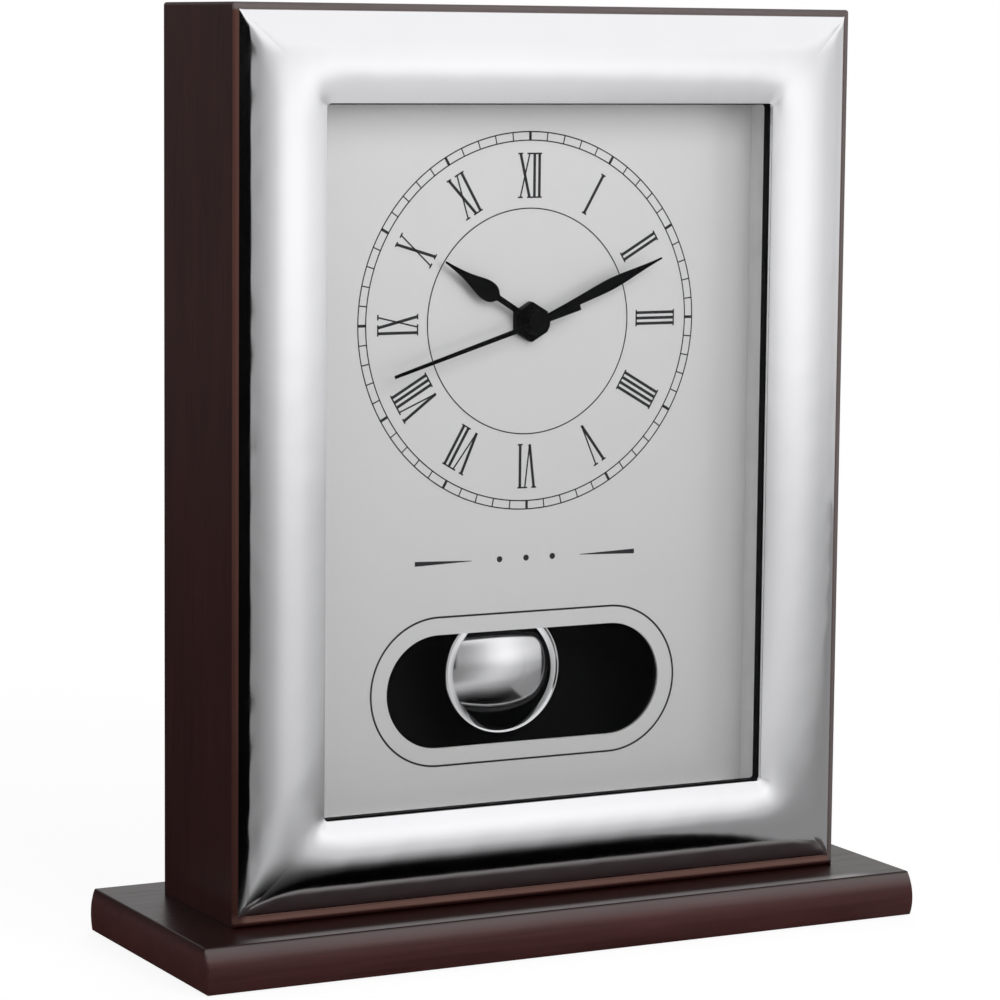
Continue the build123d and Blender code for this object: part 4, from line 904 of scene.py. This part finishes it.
def bob_surface(bob):
    """The bob's face as a turned profile: a dome, a flat groove, a half round bead and a short rim."""
    low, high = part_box("bob_face")
    radius = (high.x - low.x) / 2
    plane = high.y - bob.rim
    bead_middle = radius - bob.bead
    edge = radius - 2 * bob.bead - bob.groove
    sphere = (edge ** 2 + bob.dome ** 2) / (2 * bob.dome)
    spread = np.linspace(0.0, np.arcsin(edge / sphere), 48)
    dome = np.stack([sphere * np.sin(spread), plane - bob.dome + sphere * (1.0 - np.cos(spread))], axis=-1)
    half = np.linspace(-np.pi / 2, np.pi / 2, 17)
    bead = np.stack([bead_middle + bob.bead * np.sin(half), plane - bob.bead * np.cos(half)], axis=-1)
    back = [(radius, high.y), (0.0, high.y)]
    return turned(np.concatenate([dome, bead, back]), middle_of("bob_face"), 192)


class CLOCK_OT_pendulum(bpy.types.Operator):
    """Make the polished bob and finish the rod and its hanger"""
    bl_idname = "clock.pendulum"
    bl_label = "Pendulum"

    def execute(self, context):
        silver = settings("clock_silver")
        shine = polished_finish("bob_polish", silver.tint, 0.05)
        add_piece("bob_polished_face", [bob_surface(settings("clock_bob"))], shine, "pendulum",
                  ["bob_face"])
        dress(brushed_finish("rod_steel_brushed", (0.62, 0.62, 0.63), 0.32), "pendulum_rod", "bob_back")
        dress(moulded_finish("hanger_black", (0.012, 0.012, 0.013), 0.45), "pendulum_hanger")
        dress(moulded_finish("pendulum_ferrite", (0.05, 0.05, 0.052), 0.55), "pendulum_magnet")
        return {"FINISHED"}


def along_node(finish, name):
    """The object coordinate along a CAD node's longest side, and the two ends of that side."""
    low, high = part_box(name)
    axis = int(np.argmax(np.subtract(high, low)))
    return finish.axes(finish.place())[axis], low[axis], high[axis]


def battery_finish(name, node):
    """A battery's film jacket: black, with copper towards one end and bare metal at both ends."""
    finish = Finish(name)
    along, start, end = along_node(finish, node)
    split = start + 0.7 * (end - start)
    copper = finish.step(along, split, split + 0.2 * MM)
    pale_band = finish.math("MAXIMUM", finish.step(along, start + 0.8 * MM, start + 0.6 * MM),
                       finish.step(along, end - 1.6 * MM, end - 1.4 * MM))
    film = finish.mix(copper, (0.014, 0.014, 0.015), (0.56, 0.28, 0.12))
    scuff = finish.noise(300.0, detail=3.0)
    finish.set(base_color=finish.mix(pale_band, film, (0.70, 0.70, 0.69)),
               metallic=finish.math("MAXIMUM", pale_band, 0.8 * copper), roughness=0.26 + 0.14 * scuff)
    return finish.material


def wound_finish(name, node):
    """Enamelled copper wire wound side by side: a sine along the coil, one wave for each turn."""
    finish = Finish(name)
    along, _, _ = along_node(finish, node)
    wire = 0.5 + 0.5 * finish.math("SINE", along * (2.0 * np.pi / (0.2 * MM)))
    tone = finish.noise(220.0, detail=2.0)
    finish.set(base_color=finish.mix(wire, (0.40, 0.14, 0.06), (0.78, 0.36, 0.17)), metallic=1.0,
               roughness=0.24 + 0.16 * tone)
    finish.bump(wire, 0.04 * MM, 0.8)
    return finish.material


def board_finish(name):
    """Green solder mask, paler and raised over the tracks, which lie where a drawn out noise is high."""
    finish = Finish(name)
    track = finish.step(finish.noise(420.0, (1.0, 1.0, 0.12), detail=0.0), 0.52, 0.55)
    finish.set(base_color=finish.mix(track, (0.010, 0.075, 0.035), (0.028, 0.16, 0.07)),
               roughness=0.34 + 0.10 * track)
    finish.bump(track, 0.03 * MM, 0.6)
    return finish.material


class CLOCK_OT_movement(bpy.types.Operator):
    """Finish the quartz pendulum movement, its wheels, coils and battery"""
    bl_idname = "clock.movement"
    bl_label = "Movement"

    def execute(self, context):
        black = moulded_finish("movement_black_plastic", (0.014, 0.014, 0.015), 0.48)
        dress(black, "movement_front_case", "movement_back_cover", "setting_knob")
        natural = moulded_finish("gear_natural_plastic", (0.72, 0.70, 0.64), 0.4)
        dress(natural, "gear_plate", "intermediate_wheel", "seconds_wheel", "third_wheel", "centre_wheel",
              "minute_arbor", "minute_wheel", "hour_wheel", "setting_arbor", "rotor_pinion")
        dress(brushed_finish("contact_nickel", (0.74, 0.72, 0.68), 0.28), "battery_contact_plus",
              "battery_contact_minus")
        dress(brushed_finish("stator_iron_sheet", (0.40, 0.40, 0.41), 0.4), "stator")
        dress(moulded_finish("rotor_ferrite", (0.05, 0.05, 0.052), 0.55), "rotor_magnet")
        dress(board_finish("circuit_green_mask"), "circuit_board")
        dress(wound_finish("motor_coil_wire", "motor_coil"), "motor_coil")
        dress(wound_finish("drive_coil_wire", "drive_coil"), "drive_coil")
        dress(battery_finish("battery_jacket_film", "battery"), "battery")
        dress(brushed_finish("screw_steel_plated", (0.66, 0.66, 0.65), 0.28), "movement_screws",
              "dial_board_screws", "base_screws", "pendulum_pin")
        return {"FINISHED"}


class CLOCK_OT_door_fittings(bpy.types.Operator):
    """Finish the back door's hinges, screws and magnetic catch"""
    bl_idname = "clock.door_fittings"
    bl_label = "Door Fittings"

    def execute(self, context):
        dress(brushed_finish("hinge_brass", (0.80, 0.58, 0.27), 0.26), "hinge_case_leaves",
              "hinge_door_leaves", "hinge_pins")
        dress(brushed_finish("hinge_screw_steel", (0.66, 0.66, 0.65), 0.28), "hinge_case_screws",
              "hinge_door_screws", "strike_plate")
        dress(moulded_finish("catch_black", (0.016, 0.016, 0.017), 0.5), "magnet_catch")
        return {"FINISHED"}


# Stage

def stand_matrix(right, up, back, place):
    """The matrix of an object that looks along -back from a place."""
    matrix = np.eye(4)
    matrix[:3] = np.stack([right, up, back, np.array(place)], axis=1)
    return Matrix(matrix.tolist())


def camera_matrix(stage):
    """The camera's place and axes from its turn, tilt and roll."""
    back = np.array([-np.sin(stage.turn) * np.cos(stage.tilt), -np.cos(stage.turn) * np.cos(stage.tilt),
                     np.sin(stage.tilt)])
    level = np.cross(-back, (0.0, 0.0, 1.0))
    level /= np.linalg.norm(level)
    above = np.cross(level, -back)
    right = level * np.cos(stage.roll) + above * np.sin(stage.roll)
    up = above * np.cos(stage.roll) - level * np.sin(stage.roll)
    return stand_matrix(right, up, back, stage.stand)


def add_camera(stage):
    lens = bpy.data.cameras.new("clock_camera")
    lens.sensor_width = 36.0
    lens.lens = stage.lens
    lens.clip_end = 20.0
    camera = bpy.data.objects.new("clock_camera", lens)
    camera.matrix_world = camera_matrix(stage)
    bpy.context.scene.collection.objects.link(camera)
    bpy.context.scene.camera = camera


def add_lamp(name, place, aim, size, power):
    """A square soft lamp that lights surfaces and is not mirrored in them."""
    light = bpy.data.lights.new(name, "AREA")
    light.size = size
    light.energy = power
    lamp = bpy.data.objects.new(name, light)
    back = np.subtract(place, aim)
    back /= np.linalg.norm(back)
    side = np.cross((0.0, 0.0, 1.0), back)
    side /= np.linalg.norm(side)
    lamp.matrix_world = stand_matrix(side, np.cross(back, side), back, place)
    lamp.visible_glossy = False
    bpy.context.scene.collection.objects.link(lamp)


# Place and size of each lamp, by the name of its power in the settings
LAMPS = {
    "key": ((0.02, -0.42, 0.36), 0.30),
    "side": ((-0.75, 0.05, 0.08), 0.35),
    "back": ((0.40, 0.85, 0.50), 0.50),
}


def ray_kinds(sheet):
    """The light path's camera, glossy and transmission flags."""
    path = sheet.tree.nodes.new("ShaderNodeLightPath")
    names = ("Is Camera Ray", "Is Glossy Ray", "Is Transmission Ray")
    return [Value(sheet, path.outputs[name]) for name in names]


def light_world(stage):
    """White past the stage for the camera, pale light from all sides, a ceiling lit only in front."""
    world = bpy.data.worlds.new("studio")
    bpy.context.scene.world = world
    world.use_nodes = True
    sheet = Sheet(world.node_tree)
    camera, glossy, through = ray_kinds(sheet)
    seen = sheet.clamp(camera + through)
    toward = sheet.node("ShaderNodeTexCoord", out="Generated")
    _, _, above = sheet.axes(toward)
    ahead = sheet.node("ShaderNodeVectorMath", {"operation": "DOT_PRODUCT"}, {0: toward, 1: AHEAD},
                       out="Value")
    lights = stage.fill * (1.0 - 0.75 * sheet.step(above, 0.1, 0.8))
    mirrored = 0.10 + 0.85 * sheet.step(ahead, -1.0, -0.4)
    unseen = (1.0 - glossy) * lights + glossy * mirrored
    level = seen + (1.0 - seen) * unseen
    shade = sheet.node("ShaderNodeBackground", None, {"Color": (1.0, 1.0, 1.0), "Strength": level})
    output = sheet.tree.nodes.new("ShaderNodeOutputWorld")
    sheet.put(output.inputs["Surface"], shade)


AHEAD = (0.51, -0.86, 0.0)


def round_glow(finish, across, along):
    """Brightness by the turn from the clock's front: a soft light at the right front, dark at the left."""
    turn = finish.math("ARCTAN2", across, 0.0 - along) / (2.0 * np.pi) + 0.5
    return finish.ramp(turn, [(at / 360.0 + 0.5, grey) for at, grey in ROUND])


ROUND = ((-180, 0.14), (-125, 0.14), (-118, 0.8), (-98, 0.8), (-88, 0.0), (-21, 0.0), (-19, 0.30),
         (-14, 0.31), (-4.5, 0.40), (5, 0.56), (11, 0.71), (17, 0.81), (22, 0.87), (27, 0.88), (32, 0.85),
         (40, 0.75), (48, 0.66), (54, 0.60), (70, 0.52), (110, 0.55), (125, 0.85), (165, 0.9), (176, 0.2),
         (180, 0.14))
WALL_RADIUS = 0.95
WALL_TOP = 0.5
FLOOR_RADIUS = 1.0


def floor_finish(base_front):
    """A pale floor that fades with distance; mirrors see it dark by the base and grey further off."""
    finish = Finish("pale_floor")
    across, along, _ = finish.axes(finish.place())
    far = finish.math("SQRT", across * across + along * along)
    grain = finish.noise(900.0, detail=2.0)
    finish.set(base_color=finish.mix(grain, (0.70, 0.70, 0.70), (0.74, 0.74, 0.74)), roughness=0.9,
               specular_ior_level=0.0)
    ahead = base_front - along
    right = finish.step(across, 0.075, 0.095)
    left = finish.step(0.0 - across, 0.105, 0.13)
    nearer = 0.035 * finish.step(0.0 - across, 0.0, 0.08)
    away = finish.math("MAXIMUM", ahead + nearer, 0.12 * right + 0.12 * left)
    nearby = finish.ramp(away / WALL_RADIUS, [(0.0, 0.0), (0.058, 0.0), (0.079, 0.07), (0.121, 0.36),
                                              (0.21, 0.55), (0.37, 0.61), (0.68, 0.66), (1.0, 0.75)])
    aside = across + LEFT_RAIL * (1.0 - far / WALL_RADIUS) + 0.08 * finish.step(far, 0.26, 0.12)
    mirrored = finish.mix(1.0, nearby, round_glow(finish, aside, along), blend="MULTIPLY")
    glow = finish.node("ShaderNodeEmission", None, {"Color": mirrored, "Strength": 1.2})
    white = finish.node("ShaderNodeEmission", None, {"Color": (1.0, 1.0, 1.0), "Strength": 1.27})
    clear = finish.node("ShaderNodeBsdfTransparent")
    camera, glossy, _ = ray_kinds(finish)
    lit = Value(finish, finish.shader.outputs[0])
    seen = finish.node("ShaderNodeMixShader", None, {0: 0.7 * camera, 1: lit, 2: white})
    pale = finish.node("ShaderNodeMixShader", None, {0: glossy, 1: seen, 2: glow})
    fade = finish.step(far, 0.25, 0.8) * (1.0 - glossy)
    both = finish.node("ShaderNodeMixShader", None, {0: fade, 1: pale, 2: clear})
    finish.put(finish.output.inputs["Surface"], both)
    return finish.material


LEFT_RAIL = 0.084


def wall_finish():
    """What the mirrors see round the clock, a little darker towards the floor."""
    finish = Finish("studio_wall_glow")
    across, along, up = finish.axes(finish.place())
    above = finish.ramp(up / WALL_TOP, [(0.0, 0.70), (0.06, 0.77), (0.10, 0.82), (0.15, 0.89), (0.18, 0.92),
                                        (0.24, 0.95), (0.30, 0.97), (0.44, 0.93), (1.0, 0.88)])
    sides = finish.mix(finish.step(up, 0.30, 0.44), round_glow(finish, across, along), (0.88, 0.88, 0.88))
    level = finish.mix(1.0, sides, above, blend="MULTIPLY")
    glow = finish.node("ShaderNodeEmission", None, {"Color": level, "Strength": 1.22})
    finish.put(finish.output.inputs["Surface"], glow)
    return finish.material


def stage_object(name, surface, finish):
    made = mesh_object(name, [surface])
    made.data.materials.append(finish)
    made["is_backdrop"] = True
    return made


class CLOCK_OT_stage(bpy.types.Operator):
    """Set the camera, the pale floor and the soft studio light"""
    bl_idname = "clock.stage"
    bl_label = "Stage"

    def execute(self, context):
        stage = settings("clock_stage")
        context.scene.view_settings.view_transform = "Standard"
        add_camera(stage)
        light_world(stage)
        low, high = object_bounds()
        reach = np.linspace(0.0, FLOOR_RADIUS, 24)[:, None]
        turn = np.linspace(0.0, 2.0 * np.pi, 96, endpoint=False)[None]
        floor_level = low.z - 0.05 * MM
        disc = np.stack([reach * np.sin(turn), reach * np.cos(turn), floor_level + 0.0 * reach * turn],
                        axis=-1)
        stage_object("floor", grid(disc, close_columns=True), floor_finish(low.y))
        rise = np.linspace(floor_level + MM, WALL_TOP, 12)[:, None]
        wall = np.stack([WALL_RADIUS * np.sin(turn) + 0.0 * rise,
                         -WALL_RADIUS * np.cos(turn) + 0.0 * rise,
                         rise + 0.0 * turn], axis=-1)
        screen = stage_object("studio_wall", grid(wall, close_columns=True), wall_finish())
        for kind in ("camera", "diffuse", "transmission", "shadow", "volume_scatter"):
            setattr(screen, "visible_" + kind, False)
        middle = (0.0, low.y, high.z / 2)
        for name, (place, size) in LAMPS.items():
            add_lamp(name + "_lamp", place, middle, size, getattr(stage, name))
        return {"FINISHED"}


class CLOCK_PT_looks(bpy.types.Panel):
    """Lists the steps that dress the clock, with their sizes and colours"""
    bl_label = "Desk Pendulum Clock"
    bl_idname = "CLOCK_PT_looks"
    bl_space_type = "VIEW_3D"
    bl_region_type = "UI"
    bl_category = "Clock"

    def draw(self, context):
        for operator in STEPS:
            self.layout.operator(operator.bl_idname)
        for name in GROUPS:
            box = self.layout.box()
            group = getattr(context.scene, name)
            for key in group.__annotations__:
                box.prop(group, key)


GROUPS = {
    "clock_wood": WoodSettings,
    "clock_silver": SilverSettings,
    "clock_dial": DialSettings,
    "clock_bob": BobSettings,
    "clock_stage": StageSettings,
}
STEPS = (CLOCK_OT_wood, CLOCK_OT_silver_front, CLOCK_OT_glass, CLOCK_OT_dial, CLOCK_OT_hands,
         CLOCK_OT_pendulum, CLOCK_OT_movement, CLOCK_OT_door_fittings, CLOCK_OT_stage)


def register():
    for made in (*GROUPS.values(), *STEPS, CLOCK_PT_looks):
        bpy.utils.register_class(made)
    for name, group in GROUPS.items():
        setattr(bpy.types.Scene, name, PointerProperty(type=group))


def unregister():
    for name in GROUPS:
        delattr(bpy.types.Scene, name)
    for made in reversed((*GROUPS.values(), *STEPS, CLOCK_PT_looks)):
        bpy.utils.unregister_class(made)


def main():
    """Dresses the clock step by step."""
    register()
    bpy.ops.clock.wood()
    bpy.ops.clock.silver_front()
    bpy.ops.clock.glass()
    bpy.ops.clock.dial()
    bpy.ops.clock.hands()
    bpy.ops.clock.pendulum()
    bpy.ops.clock.movement()
    bpy.ops.clock.door_fittings()
    bpy.ops.clock.stage()


if __name__ == "__main__":
    main()
